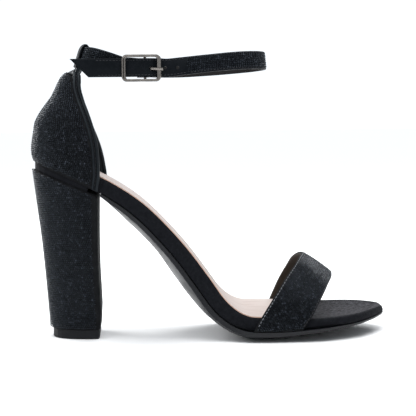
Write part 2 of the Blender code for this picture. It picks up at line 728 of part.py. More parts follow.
def fold_radius():
    """Middle of the short end's fold round the centre bar."""
    return BUCKLE_BAR_RADIUS + GAP + STRAP_WALL / 2


def bar_place():
    return Vector((BUCKLE_X + BUCKLE_BAR_X, layer_y("over") + STRAP_WALL + GAP + fold_radius(), STRAP_Z))


def strap_route():
    """The ankle strap's middle line as (point, lean), from the fold at the buckle to the tail."""
    bar, radius = bar_place(), fold_radius()
    route = [(bar + Vector((x, radius, 0)), 0.0) for x in (-SHORT_END, -SHORT_END / 2)]
    for step in range(7):
        angle = math.pi * step / 6
        route.append((bar + Vector((radius * math.sin(angle), radius * math.cos(angle), 0)), 0.0))
    inner = layer_y("inner")
    half_way = (inner + bar.y - radius) / 2
    route.append((Vector((bar.x - BUCKLE_END_BAR, half_way, STRAP_Z + SHORT_END_RISE / 3 * STRAP_RISE)), 0.0))
    route.append((Vector((bar.x - 2 * radius - SHORT_END, inner, STRAP_Z + SHORT_END_RISE * STRAP_RISE)), 0.0))
    for row in range(len(STRAP_RING["ahead"])):
        route.append(strap_point(row))
    half = BUCKLE_LENGTH / 2 - BUCKLE_END_BAR / 2
    outer, over = layer_y("outer"), layer_y("over")
    for x, y in (
        (BUCKLE_X + half, outer),
        (BUCKLE_X + half - BUCKLE_END_BAR, outer - STRAP_SAG),
        (bar.x + 2 * STRAP_WALL, over + STRAP_SAG),
        (bar.x, over),
        (bar.x - 2.5 * STRAP_WALL, over + STRAP_SAG),
        (BUCKLE_X - half + BUCKLE_END_BAR, outer - STRAP_SAG),
        (BUCKLE_X - half, outer),
        (BUCKLE_X - half - STRAP_WIDTH / 2, outer),
        (TAIL_TIP_X + STRAP_WIDTH * (TAIL_CUT + 0.4), outer),
    ):
        route.append((Vector((x, y, STRAP_Z + STRAP_SAG)), 0.0))
    return route


def smooth_route(route, spacing):
    """Points along a smooth curve through the route, about this far apart."""
    points = []
    for i in range(len(route) - 1):
        before, (start, lean_0), (end, lean_1), after = (
            route[max(i - 1, 0)][0], route[i], route[i + 1], route[min(i + 2, len(route) - 1)][0],
        )
        span = (end - start).length
        count = max(1, round(span / spacing))
        leave = (end - before) * (span / max((end - before).length, 1e-9))
        arrive = (after - start) * (span / max((after - start).length, 1e-9))
        for k in range(count):
            t = k / count
            point = (
                start * (2 * t**3 - 3 * t**2 + 1) + leave * (t**3 - 2 * t**2 + t)
                + end * (3 * t**2 - 2 * t**3) + arrive * (t**3 - t**2)
            )
            points.append((point, lean_0 + (lean_1 - lean_0) * t))
    return points + [route[-1]]


def ankle_strap(finish, collection):
    """One strip: folded round the centre bar, back through the loop, round the ankle and through the buckle."""
    line = smooth_route(strap_route(), STRAP_STEP)
    w, t, edge = STRAP_WIDTH / 2, STRAP_WALL / 2, STRAP_EDGE
    section = [(t, -w + edge), (t, w - edge), (t - edge, w), (-t + edge, w)]
    section += [(-t, w - edge), (-t, -w + edge), (-t + edge, -w), (t - edge, -w)]
    rings = []
    for i, (point, lean) in enumerate(line):
        along = (line[min(i + 1, len(line) - 1)][0] - line[max(i - 1, 0)][0]).normalized()
        inward = along.cross(Vector((0, 0, 1))).normalized()
        up = Vector((0, 0, math.cos(lean))) + inward * math.sin(lean)
        outward = up.cross(along).normalized()
        up = along.cross(outward).normalized()
        rings.append([point + outward * s + up * u for s, u in section])
    end = line[-1][0]
    rings.append([Vector((TAIL_TIP_X + (w - u) * TAIL_CUT, end.y - s, end.z + u)) for s, u in section])
    return loft("ankle_strap", rings, finish, collection)


def rounded_rectangle(curve, length, height, radius, steps=5):
    """Adds a closed rounded rectangle, centred, to a flat curve."""
    points = []
    for corner, (sx, sy) in enumerate(((1, 1), (-1, 1), (-1, -1), (1, -1))):
        for i in range(steps + 1):
            angle = math.pi / 2 * (corner + i / steps)
            x = sx * (length / 2 - radius) + radius * math.cos(angle)
            y = sy * (height / 2 - radius) + radius * math.sin(angle)
            points.append((x, y, 0, 1))
    spline = curve.splines.new("POLY")
    spline.points.add(len(points) - 1)
    for spot, point in zip(spline.points, points):
        spot.co = point
    spline.use_cyclic_u = True


def wire_curve(name, points, radius, collection):
    """A round wire through the points."""
    line = bpy.data.curves.new(name, "CURVE")
    line.dimensions = "3D"
    line.bevel_depth = radius
    line.bevel_resolution = 2
    line.use_fill_caps = True
    spline = line.splines.new("POLY")
    spline.points.add(len(points) - 1)
    for spot, point in zip(spline.points, points):
        spot.co = (*point, 1)
    return new_object(name, line, None, collection)


def as_mesh(curve_object, finish):
    """The curve's evaluated shape as a mesh object with its caps welded on."""
    collection = curve_object.users_collection[0]
    graph = bpy.context.evaluated_depsgraph_get()
    data = bpy.data.meshes.new_from_object(curve_object.evaluated_get(graph))
    body = bmesh.new()
    body.from_mesh(data)
    bmesh.ops.remove_doubles(body, verts=body.verts, dist=0.000001)
    bmesh.ops.recalc_face_normals(body, faces=body.faces)
    body.to_mesh(data)
    body.free()
    name = curve_object.name
    matrix = curve_object.matrix_world.copy()
    bpy.data.objects.remove(curve_object)
    data.materials.clear()
    made = new_object(name, data, finish, collection)
    made.matrix_world = matrix
    return made


def join_or_cut(target, other, operation, tools):
    """A Boolean on the target with the other object kept as a hidden tool."""
    for home in list(other.users_collection):
        home.objects.unlink(other)
    tools.objects.link(other)
    other.hide_render = True
    other.display_type = "WIRE"
    step = target.modifiers.new(operation.lower(), "BOOLEAN")
    step.object = other
    step.operation = operation
    step.solver = "EXACT"


def buckle_frame(finish, collection, tools):
    """The rectangular frame, with its centre bar set in towards the ankle so that the strap can pass over it."""
    outline = bpy.data.curves.new("buckle_frame", "CURVE")
    outline.dimensions = "2D"
    outline.fill_mode = "BOTH"
    outline.extrude = BUCKLE_DEPTH / 2 - BUCKLE_EDGE
    outline.bevel_depth = BUCKLE_EDGE
    outline.bevel_resolution = 1
    outline.offset = -BUCKLE_EDGE
    rounded_rectangle(outline, BUCKLE_LENGTH, BUCKLE_HEIGHT, BUCKLE_CORNER)
    rounded_rectangle(
        outline, BUCKLE_LENGTH - 2 * BUCKLE_END_BAR, BUCKLE_HEIGHT - 2 * BUCKLE_RAIL, BUCKLE_CORNER / 2.5
    )
    frame = new_object("buckle_frame", outline, None, collection)
    frame.location = (BUCKLE_X, frame_y(), STRAP_Z)
    frame.rotation_euler = (math.pi / 2, 0, 0)
    bpy.context.view_layer.update()
    frame = as_mesh(frame, finish)

    bar, rail = bar_place(), BUCKLE_HEIGHT / 2 - BUCKLE_RAIL / 2
    reach = STRAP_WIDTH / 2 + GAP + BUCKLE_BAR_RADIUS
    half = [(frame_y() + GAP, rail), (bar.y - BUCKLE_BAR_BEND, rail), (bar.y - GAP, (rail + reach) / 2), (bar.y, reach)]
    points = [Vector((bar.x, y, STRAP_Z + z)) for y, z in half]
    points += [Vector((bar.x, y, STRAP_Z - z)) for y, z in half[::-1]]
    staple = as_mesh(wire_curve("centre_bar", points, BUCKLE_BAR_RADIUS, tools), None)
    join_or_cut(frame, staple, "UNION", tools)
    return frame


def prong_route():
    """The prong's middle line: hooked round the centre bar, through the strap's hole, onto the front end bar."""
    bar, hook = bar_place(), BUCKLE_BAR_RADIUS + GAP + PRONG_RADIUS
    points = []
    for degrees in (20, -20, -60, -100, -140, -180):
        angle = math.radians(degrees)
        points.append(bar + Vector((hook * math.sin(angle), hook * math.cos(angle), 0)))
    face = frame_y() - BUCKLE_DEPTH / 2 - GAP - PRONG_RADIUS
    rest_x = BUCKLE_X + BUCKLE_LENGTH / 2 - BUCKLE_END_BAR / 2
    start = points[-1]
    for share in (0.18, 0.36, 0.54, 0.72, 0.9, 1.0):
        x = start.x + (rest_x - start.x) * share
        points.append(Vector((x, start.y + (face - start.y) * eased(0.0, 0.95, share), bar.z - share * PRONG_DROP)))
    points.append(Vector((rest_x + BUCKLE_END_BAR / 2 + PRONG_REST, face, bar.z - PRONG_DROP)))
    return points


def prong(finish, collection):
    return as_mesh(wire_curve("buckle_prong", prong_route(), PRONG_RADIUS, collection), finish)


def cut_strap(strap, tools):
    """The slot in the short end's fold for the prong's hook, and the hole in the long end for the prong."""
    bar, radius = bar_place(), fold_radius() + STRAP_WALL / 2
    room = PRONG_RADIUS + 2 * GAP
    behind = BUCKLE_BAR_RADIUS + 2 * PRONG_RADIUS + 2 * GAP
    body = bmesh.new()
    bmesh.ops.create_cube(body, size=1.0)
    data = bpy.data.meshes.new("fold_slot")
    body.to_mesh(data)
    body.free()
    slot = new_object("fold_slot", data, None, tools)
    slot.scale = (behind + radius + GAP, 2 * (radius + GAP), 2 * room)
    slot.location = (bar.x + (radius + GAP - behind) / 2, bar.y, bar.z)
    join_or_cut(strap, slot, "DIFFERENCE", tools)

    route = prong_route()
    start, end = route[-6], route[-4]
    middle = (start + end) / 2
    body = bmesh.new()
    bmesh.ops.create_cone(
        body, cap_ends=True, segments=16, radius1=PRONG_HOLE_RADIUS, radius2=PRONG_HOLE_RADIUS, depth=PRONG_HOLE_RUN
    )
    data = bpy.data.meshes.new("prong_hole")
    body.to_mesh(data)
    body.free()
    hole = new_object("prong_hole", data, None, tools)
    hole.location = middle
    hole.rotation_euler = (end - start).to_track_quat("Z", "Y").to_euler()
    join_or_cut(strap, hole, "DIFFERENCE", tools)


def main():
    for old in list(bpy.data.objects):
        bpy.data.objects.remove(old)
    shoe = bpy.data.collections.new("block_heel_sandal")
    tools = bpy.data.collections.new("tools")
    bpy.context.scene.collection.children.link(shoe)
    bpy.context.scene.collection.children.link(tools)
    black = material("black_wrap", (0.012, 0.013, 0.016), 0.8)
    sock = material("nude_sock", (0.75, 0.58, 0.52), 0.6)
    rubber = material("dark_rubber", (0.03, 0.03, 0.034), 0.55)
    stones = material("stone_fabric", (0.02, 0.021, 0.025), 0.4)
    metal = material("pewter", (0.35, 0.33, 0.31), 0.35, 1.0)

    footbed(black, shoe)
    insole(sock, shoe)
    outsole(rubber, shoe)
    heel_block(stones, shoe)
    heel_tip(rubber, shoe)
    seat_wedge(black, shoe)
    heel_counter(stones, shoe)
    collar_binding(black, shoe)
    strap_loop(black, shoe)
    vamp_strap(stones, shoe)
    strap = ankle_strap(stones, shoe)
    cut_strap(strap, tools)
    buckle_frame(metal, shoe, tools)
    prong(metal, shoe)


main()
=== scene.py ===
# %% [markdown]
# # A black block-heel sandal with an ankle strap
# The shoe is a right one and stands empty on a pale floor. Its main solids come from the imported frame. This
# script dresses them: it lays stones, cloth, a sock lining, rubber and a metal buckle over the same
# outlines. Everything is in metres, with +X to the toe, -Y to the buckle side and +Z up.

# %% Load the frame
import math

import bmesh
import bpy
import numpy as np
from mathutils import Matrix, Vector


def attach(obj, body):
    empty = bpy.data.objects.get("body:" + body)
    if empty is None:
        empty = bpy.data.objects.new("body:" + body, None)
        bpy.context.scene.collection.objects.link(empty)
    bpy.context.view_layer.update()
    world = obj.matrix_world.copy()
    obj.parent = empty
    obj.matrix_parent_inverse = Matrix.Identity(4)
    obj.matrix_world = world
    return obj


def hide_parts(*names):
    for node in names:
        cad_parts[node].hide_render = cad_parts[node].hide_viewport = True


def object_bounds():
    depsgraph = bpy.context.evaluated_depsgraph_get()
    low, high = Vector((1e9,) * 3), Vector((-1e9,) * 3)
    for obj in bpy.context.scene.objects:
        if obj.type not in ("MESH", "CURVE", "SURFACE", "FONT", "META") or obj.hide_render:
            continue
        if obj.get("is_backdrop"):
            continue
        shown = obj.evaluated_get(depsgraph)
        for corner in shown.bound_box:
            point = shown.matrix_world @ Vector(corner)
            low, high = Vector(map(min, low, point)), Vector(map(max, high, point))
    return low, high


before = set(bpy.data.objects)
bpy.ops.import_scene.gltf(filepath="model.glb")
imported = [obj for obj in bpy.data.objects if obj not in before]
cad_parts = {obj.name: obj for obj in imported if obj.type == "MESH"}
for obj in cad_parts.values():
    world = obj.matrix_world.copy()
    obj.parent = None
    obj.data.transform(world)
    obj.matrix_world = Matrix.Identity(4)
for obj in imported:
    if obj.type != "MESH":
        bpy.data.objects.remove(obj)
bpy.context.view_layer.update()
print("nodes:", ", ".join(sorted(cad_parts)))

# %% [markdown]
# ## Camera
# The photograph was taken with a long lens from just above the strap's height, and the camera was turned a
# little to the toe. A Blender camera looks down its own -Z axis, so its matrix holds the three directions
# right, up and backwards. Writing them out keeps the small roll that a look-at helper would lose.

# %% Camera at the photograph's angle
SENSOR_MM, LENS_MM = 36.0, 111.73
CAMERA_PLACE = (0.03842, -0.75896, 0.126)
forward = Vector((0.05221, 0.99630, -0.06826)).normalized()
right = Vector((0.99854, -0.05305, -0.01045)).normalized()
up = right.cross(forward)
camera_data = bpy.data.cameras.new("photo_camera")
camera_data.sensor_width = SENSOR_MM
camera_data.lens = LENS_MM
camera_data.clip_start, camera_data.clip_end = 0.05, 60.0
camera = bpy.data.objects.new("photo_camera", camera_data)
turned = Matrix((right, up, -forward)).transposed().to_4x4()
camera.matrix_world = Matrix.Translation(CAMERA_PLACE) @ turned
bpy.context.scene.collection.objects.link(camera)
bpy.context.scene.camera = camera
print("camera", [round(v, 3) for v in camera.location], "lens", camera_data.lens)

# %% [markdown]
# ## Floor and light
# A shop photograph is lit with large soft boxes over white paper. Black cloth hardly returns light, so the
# shapes are drawn by broad, pale reflections. An even glow from the ceiling, three area lights and a pale
# sky do that. The glow reaches the whole floor, so that no horizon shows. The sky is brighter to the camera
# than to the shoe, which keeps the paper white without washing out the black.

# %% Pale floor
def plain_material(name, colour, roughness):
    made = bpy.data.materials.new(name)
    made.use_nodes = True
    shader = made.node_tree.nodes["Principled BSDF"]
    shader.inputs["Base Color"].default_value = (*colour, 1)
    shader.inputs["Roughness"].default_value = roughness
    return made, made.node_tree, shader


FLOOR_RADIUS = 14.0
paper, _, paper_shader = plain_material("pale_paper", (0.93, 0.935, 0.94), 0.9)
paper_shader.inputs["Specular IOR Level"].default_value = 0.1
body = bmesh.new()
bmesh.ops.create_circle(body, cap_ends=True, segments=96, radius=FLOOR_RADIUS)
floor_mesh = bpy.data.meshes.new("floor")
body.to_mesh(floor_mesh)
body.free()
floor = bpy.data.objects.new("floor", floor_mesh)
floor.data.materials.append(paper)
bpy.context.scene.collection.objects.link(floor)
floor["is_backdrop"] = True
print("floor radius in m:", FLOOR_RADIUS)

# %% Soft lights and sky
SKY_FOR_SHOE = 0.55
SKY_FOR_CAMERA = 1.15
world = bpy.data.worlds.new("studio")
bpy.context.scene.world = world
world.use_nodes = True
sky = world.node_tree
background = sky.nodes["Background"]
background.inputs["Color"].default_value = (0.91, 0.955, 1.0, 1)
path = sky.nodes.new("ShaderNodeLightPath")
strength = sky.nodes.new("ShaderNodeMapRange")
strength.inputs["To Min"].default_value = SKY_FOR_SHOE
strength.inputs["To Max"].default_value = SKY_FOR_CAMERA
sky.links.new(path.outputs["Is Camera Ray"], strength.inputs["Value"])
sky.links.new(strength.outputs["Result"], background.inputs["Strength"])


def soft_box(name, place, aim, width, height, power):
    light = bpy.data.lights.new(name, "AREA")
    light.shape = "RECTANGLE"
    light.size, light.size_y = width, height
    light.energy = power
    made = bpy.data.objects.new(name, light)
    made.location = place
    made.rotation_euler = (Vector(aim) - Vector(place)).to_track_quat("-Z", "Y").to_euler()
    bpy.context.scene.collection.objects.link(made)


daylight = bpy.data.lights.new("ceiling_glow", "SUN")
daylight.energy = 1.85
daylight.angle = math.radians(75)
glow = bpy.data.objects.new("ceiling_glow", daylight)
glow.rotation_euler = (math.radians(8), math.radians(-6), 0)
bpy.context.scene.collection.objects.link(glow)
soft_box("top_box", (0.10, -0.15, 1.35), (0.06, 0.0, 0.05), 1.3, 1.0, 7.0)
soft_box("toe_box", (0.60, 0.90, 0.80), (0.12, 0.0, 0.04), 0.7, 0.6, 8.0)
soft_box("heel_box", (-0.80, 0.70, 0.55), (0.0, 0.0, 0.10), 0.6, 0.9, 9.0)
bpy.context.scene.view_settings.view_transform = "Standard"
bpy.context.scene.view_settings.look = "None"

# %% [markdown]
# ## Outlines shared with the solids
# The solids were made from short tables of named sizes. The dressing repeats those tables and the few
# functions that read them, so cloth and stones lie exactly on the solids, at a finer step. Every value is a
# share of a named length.

# %% Named sizes
# Sole and last
SOLE_LENGTH = 0.2030        # back of the footbed to the toe tip, along the ground
SOLE_BACK_X = -0.0197       # back of the footbed's underside
SEAT_RISE = 0.0952          # footbed's underside at the heel, above its underside at the ball
TOE_SPRING = 0.0045         # footbed's underside at the toe tip, above the ball
BALL_WIDTH = 0.0785         # footbed at its widest
SEAT_WIDTH = 0.0492         # footbed in the heel cup
SEAT_LENGTH = 0.0342        # rounded part of the heel seat, in plan
SEAT_ROUNDNESS = 2.2        # exponent of the seat's plan curve
SEAT_FRONT_X = SOLE_BACK_X + SEAT_LENGTH
BED_THICKNESS = 0.0076
BED_TOP_RADIUS = 0.0013
BED_FOOT_RADIUS = 0.0008
BED_DISH = 0.0012           # hollow of the footbed under the foot
BED_RECESS = 0.0005         # the sock lies this far below the rim of the footbed
SEAT_LEAN = -0.24           # backward lean of the footbed's rear edge, as a slope
OUTSOLE_THICKNESS = 0.0058
OUTSOLE_REACH = 0.0003      # outsole beyond the footbed's edge
OUTSOLE_START_X = 0.0158
SOCK_THICKNESS = 0.0009
SOCK_INSET = 0.0013
SOCK_END_X = 0.1245         # under the vamp strap
TOE_ROLL = 0.0024           # length over which the footbed thins to its toe tip
STRAP_FOOT_RUN = 0.0140     # the outsole widens over this length towards the vamp strap's feet
GAP = 0.0003                # clearance between pieces that touch
CURVED_GAP = 0.0005         # clearance beside a curved wall

# Heel
HEEL_TOP_LENGTH = 0.0392
HEEL_TOP_WIDTH = 0.0520
HEEL_FRONT_X = 0.0151
HEEL_CORNER = 0.0016
HEEL_ROUNDNESS = 2.3
TIP_HEIGHT = 0.0053
WEDGE_BACK = 0.0037
WEDGE_FRONT = 0.0016

# Upper
WALL = 0.0020
BINDING_WIDTH = 0.0047
BINDING_PROUD = 0.0003
COUNTER_HEIGHT = 0.0563     # rear edge of the counter above its own foot
COUNTER_TOP = 0.906         # share at which the counter ends under the neck, in the middle
COUNTER_TOP_DROP = 0.030    # and this much lower at the binding's edges
NECK_HEIGHT = 0.0065        # neck of the binding between the counter and the strap
NECK_SET_BACK = 0.0040      # the neck's foot lies this far behind its top
NECK_STRAIGHT = 0.25        # share of the neck that stands straight inside the loop
NECK_BEND = 2.2             # how early the rest of the neck bends backwards
COUNTER_TABLE_TOP = 0.91    # above this share the counter follows the ankle strap's line
VAMP_HEIGHT = 0.0400        # peak of the vamp strap's rear edge above the outsole
VAMP_FRONT_DROP = 0.0140    # front edge's peak below the rear edge's
VAMP_CROWN = 0.0007
VAMP_CLEARANCE = 0.0008     # between the strap's inside and the footbed
VAMP_ROUNDNESS = 2.3
STRAP_WIDTH = 0.0105
STRAP_WALL = 0.0016
STRAP_BACK_X = 0.0055
STRAP_LENGTH = 0.1064       # ankle loop's length, middle of the strap at the back to middle at the front
STRAP_HALF_WIDTH = 0.0206
STRAP_Z = 0.1556            # middle of the strap at the buckle
STRAP_RISE = 0.0082         # middle of the strap at the back loop, above the buckle's
LOOP_WALL = 0.0010
LOOP_CROWN = 0.0003         # rise of the fold over the strap
LOOP_SHOULDER = 0.0036      # the fold starts to round this far below the strap's top
LOOP_HALF_SPAN = 1.0        # loop and counter top reach this many ring rows each way from the heel
LOOP_ROOM = 0.0036          # inside the loop, across the strap
LOOP_OVERLAP = 0.0020       # loop's legs down over the counter's top edge
TAIL_TIP_X = -0.0006
TAIL_CUT = 1.0              # the tail's end runs back this far for each width down
STRAP_EDGE = 0.0004         # rounding of the strap's edges
STRAP_SAG = 0.0003          # the long end dips this far before it meets the frame
SHORT_END = 0.0046          # the folded end reaches this far behind the centre bar
SHORT_END_RISE = 0.11       # the short strap climbs this share of the strap's rise right behind the fold

# Buckle
BUCKLE_LENGTH = 0.0225
BUCKLE_HEIGHT = 0.0155
BUCKLE_X = 0.0400
BUCKLE_DEPTH = 0.0017
BUCKLE_RAIL = 0.0016
BUCKLE_END_BAR = 0.0024
BUCKLE_CORNER = 0.0030
BUCKLE_BAR_X = 0.0021       # centre bar ahead of the frame's middle
BUCKLE_BAR_RADIUS = 0.0008
PRONG_RADIUS = 0.0008
PRONG_HOLE_RADIUS = 0.0014
PRONG_HOLE_RUN = 0.0090     # length of the hole's cutter, along the prong
PRONG_REST = 0.0010         # prong's tip beyond the frame's end bar
PRONG_DROP = 0.0008         # prong's tip below its hook
BUCKLE_BAR_BEND = 0.0012    # the centre bar's legs bend over this depth

# %% Tables of the outlines
def table(columns, *rows):
    """A short table: one array of numbers for each named column."""
    return dict(zip(columns.split(), np.array(rows, float).T))


PROFILE = table(
    # along the sole; rise in seat rises; spring in toe springs; thickness of the footbed in bed thicknesses
    "along rise spring thickness",
    (0.000, 1.000, 0.00, 1.00),
    (0.058, 0.948, 0.00, 1.02),
    (0.127, 0.880, 0.00, 1.05),
    (0.196, 0.799, 0.00, 1.09),
    (0.265, 0.694, 0.00, 1.13),
    (0.333, 0.550, 0.00, 1.15),
    (0.393, 0.400, 0.00, 1.15),
    (0.442, 0.257, 0.00, 1.15),
    (0.486, 0.127, 0.00, 1.13),
    (0.526, 0.052, 0.00, 1.10),
    (0.570, 0.010, 0.00, 1.05),
    (0.629, 0.000, 0.00, 1.00),
    (0.688, 0.000, 0.04, 0.92),
    (0.757, 0.000, 0.25, 0.72),
    (0.826, 0.000, 0.47, 0.66),
    (0.900, 0.000, 0.68, 0.64),
    (0.950, 0.000, 0.85, 0.60),
    (1.000, 0.000, 1.00, 0.50),
)

PLAN = table(
    "along lateral medial",  # half widths in ball widths, ahead of the seat
    (0.1685, 0.313, 0.313),
    (0.235, 0.308, 0.296),
    (0.309, 0.306, 0.283),
    (0.373, 0.326, 0.306),
    (0.442, 0.369, 0.357),
    (0.506, 0.430, 0.430),
    (0.570, 0.473, 0.484),
    (0.629, 0.488, 0.507),
    (0.688, 0.492, 0.512),
    (0.757, 0.487, 0.500),
    (0.826, 0.455, 0.472),
    (0.870, 0.412, 0.436),
    (0.910, 0.330, 0.388),
    (0.939, 0.240, 0.334),
    (0.969, 0.120, 0.258),
    (0.989, 0.015, 0.184),
    (1.000, -0.075, 0.105),
)

OUTSOLE = table(
    "along middle edge flatness",  # thicknesses in outsole thicknesses; flatness shapes the underside
    (0.175, 0.28, 0.21, 2.0),
    (0.205, 0.58, 0.34, 2.0),
    (0.240, 0.84, 0.38, 2.0),
    (0.274, 1.00, 0.40, 2.0),
    (0.343, 1.00, 0.41, 2.0),
    (0.407, 1.24, 0.45, 2.2),
    (0.442, 1.26, 0.47, 2.5),
    (0.476, 1.09, 0.48, 3.0),
    (0.511, 0.95, 0.46, 3.5),
    (0.550, 0.94, 0.44, 4.0),
    (0.590, 1.06, 0.43, 4.0),
    (0.660, 1.06, 0.42, 3.5),
    (0.713, 0.93, 0.38, 3.0),
    (0.762, 0.74, 0.31, 3.0),
    (0.836, 0.60, 0.27, 2.5),
    (0.910, 0.42, 0.19, 2.5),
    (0.959, 0.32, 0.16, 2.5),
    (1.000, 0.20, 0.13, 2.0),
)

HEEL = table(
    # shares of the heel's top length and top width; setback of the front in top lengths
    "up length width setback",
    (0.0, 0.770, 0.704, 0.000),
    (0.2, 0.794, 0.738, 0.008),
    (0.4, 0.810, 0.792, 0.028),
    (0.6, 0.850, 0.862, 0.034),
    (0.8, 0.911, 0.935, 0.032),
    (1.0, 0.974, 1.000, 0.026),
)

COUNTER = table(
    # back and front: the wall's rear line and collar edges, in counter heights from its own rear foot
    "up back_x back_z lateral_x lateral_z medial_x medial_z half_width",
    (0.00, -0.010, 0.000, 0.650, -0.286, 0.692, -0.310, 0.487),
    (0.08, -0.037, 0.074, 0.672, -0.156, 0.720, -0.182, 0.487),
    (0.17, -0.040, 0.156, 0.672, -0.020, 0.704, -0.036, 0.481),
    (0.30, -0.022, 0.288, 0.662, 0.155, 0.668, 0.138, 0.453),
    (0.44, 0.006, 0.428, 0.625, 0.333, 0.603, 0.325, 0.405),
    (0.57, 0.083, 0.556, 0.572, 0.500, 0.536, 0.495, 0.350),
    (0.70, 0.176, 0.680, 0.524, 0.632, 0.490, 0.630, 0.294),
    (0.82, 0.246, 0.821, 0.488, 0.781, 0.464, 0.779, 0.234),
    (0.87, 0.286, 0.885, 0.490, 0.846, 0.472, 0.845, 0.203),
    (0.91, 0.342, 0.932, 0.484, 0.905, 0.474, 0.905, 0.172),
)

VAMP = table(
    "around rear front",  # lateral foot 0 to medial foot 1; edges along the sole
    (0.000, 0.596, 0.734),
    (0.083, 0.630, 0.762),
    (0.167, 0.663, 0.782),
    (0.250, 0.692, 0.801),
    (0.333, 0.720, 0.818),
    (0.417, 0.741, 0.834),
    (0.500, 0.755, 0.844),
    (0.583, 0.750, 0.845),
    (0.667, 0.738, 0.841),
    (0.750, 0.727, 0.834),
    (0.833, 0.709, 0.824),
    (0.917, 0.689, 0.811),
    (1.000, 0.666, 0.793),
)

STRAP_RING = table(
    # from behind the buckle back round the heel, forward on the medial side and back along the lateral side:
    # ahead in strap lengths, side in half widths, rise in strap rises, lean in degrees towards the ankle
    "ahead side rise lean",
    (0.230, -0.907, 0.14, 3),
    (0.144, -0.872, 0.52, 10),
    (0.066, -0.700, 0.84, 14),
    (0.014, -0.400, 0.97, 17),
    (0.000, 0.000, 1.00, 18),
    (0.014, 0.400, 0.95, 18),
    (0.066, 0.735, 0.82, 17),
    (0.155, 0.930, 0.56, 16),
    (0.325, 1.000, 0.20, 16),
    (0.515, 0.975, 0.12, 16),
    (0.705, 0.865, 0.22, 15),
    (0.862, 0.665, 0.36, 12),
    (0.955, 0.400, 0.46, 8),
    (1.000, 0.000, 0.54, 5),
    (0.960, -0.400, 0.56, 8),
    (0.862, -0.680, 0.52, 14),
    (0.705, -0.890, 0.34, 18),
    (0.535, -1.000, 0.10, 14),
    (0.460, -1.000, 0.00, 5),
)
RING_BACK = 4               # the row at the heel

# %% Reading a table
def slopes(at, values):
    """Slopes that keep a curve through the rows smooth and never past them."""
    steps = np.diff(values) / np.diff(at)
    inner = np.where(
        steps[:-1] * steps[1:] > 0, 2 * steps[:-1] * steps[1:] / (steps[:-1] + steps[1:] + 1e-12), 0.0
    )
    return np.concatenate([[steps[0]], inner, [steps[-1]]])


def read(rows, column, where, key="along", tight=False):
    """The column's value at a place along the key column.

    It is a smooth curve through the rows, and straight past the ends.
    """
    at, values = rows[key], rows[column]
    gradient = slopes(at, values) if tight else np.gradient(values, at)
    if where <= at[0]:
        return float(values[0] + (where - at[0]) * gradient[0])
    if where >= at[-1]:
        return float(values[-1] + (where - at[-1]) * gradient[-1])
    i = int(np.searchsorted(at, where, side="right")) - 1
    span = at[i + 1] - at[i]
    t = (where - at[i]) / span
    return float(
        (2 * t**3 - 3 * t**2 + 1) * values[i]
        + (t**3 - 2 * t**2 + t) * span * gradient[i]
        + (3 * t**2 - 2 * t**3) * values[i + 1]
        + (t**3 - t**2) * span * gradient[i + 1]
    )


def eased(low, high, value):
    """0 below low, 1 above high and a smooth step between."""
    t = min(max((value - low) / (high - low), 0.0), 1.0)
    return t * t * (3 - 2 * t)


print("ball at", round(read(PROFILE, "rise", 0.6), 3), "of the seat's rise")

# %% The footbed's own space
def along_of(x):
    return (x - SOLE_BACK_X) / SOLE_LENGTH


def x_of(along):
    return SOLE_BACK_X + along * SOLE_LENGTH


def joint_z(x):
    """Height of the footbed's underside, where the wrapped edge meets the outsole."""
    along = along_of(x)
    rise = read(PROFILE, "rise", along) * SEAT_RISE + read(PROFILE, "spring", along) * TOE_SPRING
    return OUTSOLE_THICKNESS + GAP + rise


def lift_of(x):
    """Direction of the footbed's thickness: square to the underside, but upright in the heel cup."""
    step = 0.001
    slope = (joint_z(x + step) - joint_z(x - step)) / (2 * step)
    square = Vector((-slope, 0, 1)).normalized()
    upright = Vector((SEAT_LEAN, 0, 1)) / (1 - SEAT_LEAN * slope) / square.z
    return upright.lerp(square, eased(SOLE_BACK_X, SOLE_BACK_X + 1.3 * SEAT_LENGTH, x))


def half_widths(x):
    """Lateral and medial reach of the footbed at x, both positive outwards."""
    if x < SEAT_FRONT_X:
        share = min((SEAT_FRONT_X - x) / SEAT_LENGTH, 1.0)
        reach = SEAT_WIDTH / 2 * (1 - share**SEAT_ROUNDNESS) ** (1 / SEAT_ROUNDNESS)
        return reach, reach
    along = min(along_of(x), 1.0)
    return tuple(read(PLAN, side, along, tight=True) * BALL_WIDTH for side in ("lateral", "medial"))


def bed_height(x):
    """Thickness of the footbed: padded behind the vamp strap, thin ahead of it, rounded off at the tip."""
    from_tip = min(max(x_of(1.0) - x, 0.0) / TOE_ROLL, 1.0)
    roll = math.sqrt(1 - (1 - from_tip) ** 2)
    return read(PROFILE, "thickness", along_of(x)) * BED_THICKNESS * roll


def bed_point(x, y, height):
    """A point of the footbed's own space: across at y, and height above the underside at station x."""
    lift = lift_of(x)
    return Vector((x + lift.x * height, y, joint_z(x) + lift.z * height))


def dish(x, y):
    """How far the footbed's top lies below its edges at y."""
    lateral, medial = half_widths(x)
    middle, half = (medial - lateral) / 2, max((medial + lateral) / 2, 1e-4)
    share = min(abs(y - middle) / half, 1.0)
    return BED_RECESS + BED_DISH * (1 - share**2) * min(1.0, half / (SEAT_WIDTH / 2))


def seat_stations(first_angle, count):
    """Stations of the rounded seat, closer together at its back."""
    return [
        SEAT_FRONT_X - SEAT_LENGTH * math.cos(math.radians(first_angle + (90 - first_angle) * i / count))
        for i in range(count)
    ]


def toe_stations(start, count, end=1.0):
    """Stations from start to the toe tip, closer together near the tip."""
    last = x_of(end)
    return [start + (last - start) * math.sin(math.pi / 2 * i / count) for i in range(count + 1)]


print("seat height in mm", round(1000 * joint_z(-0.01), 1))

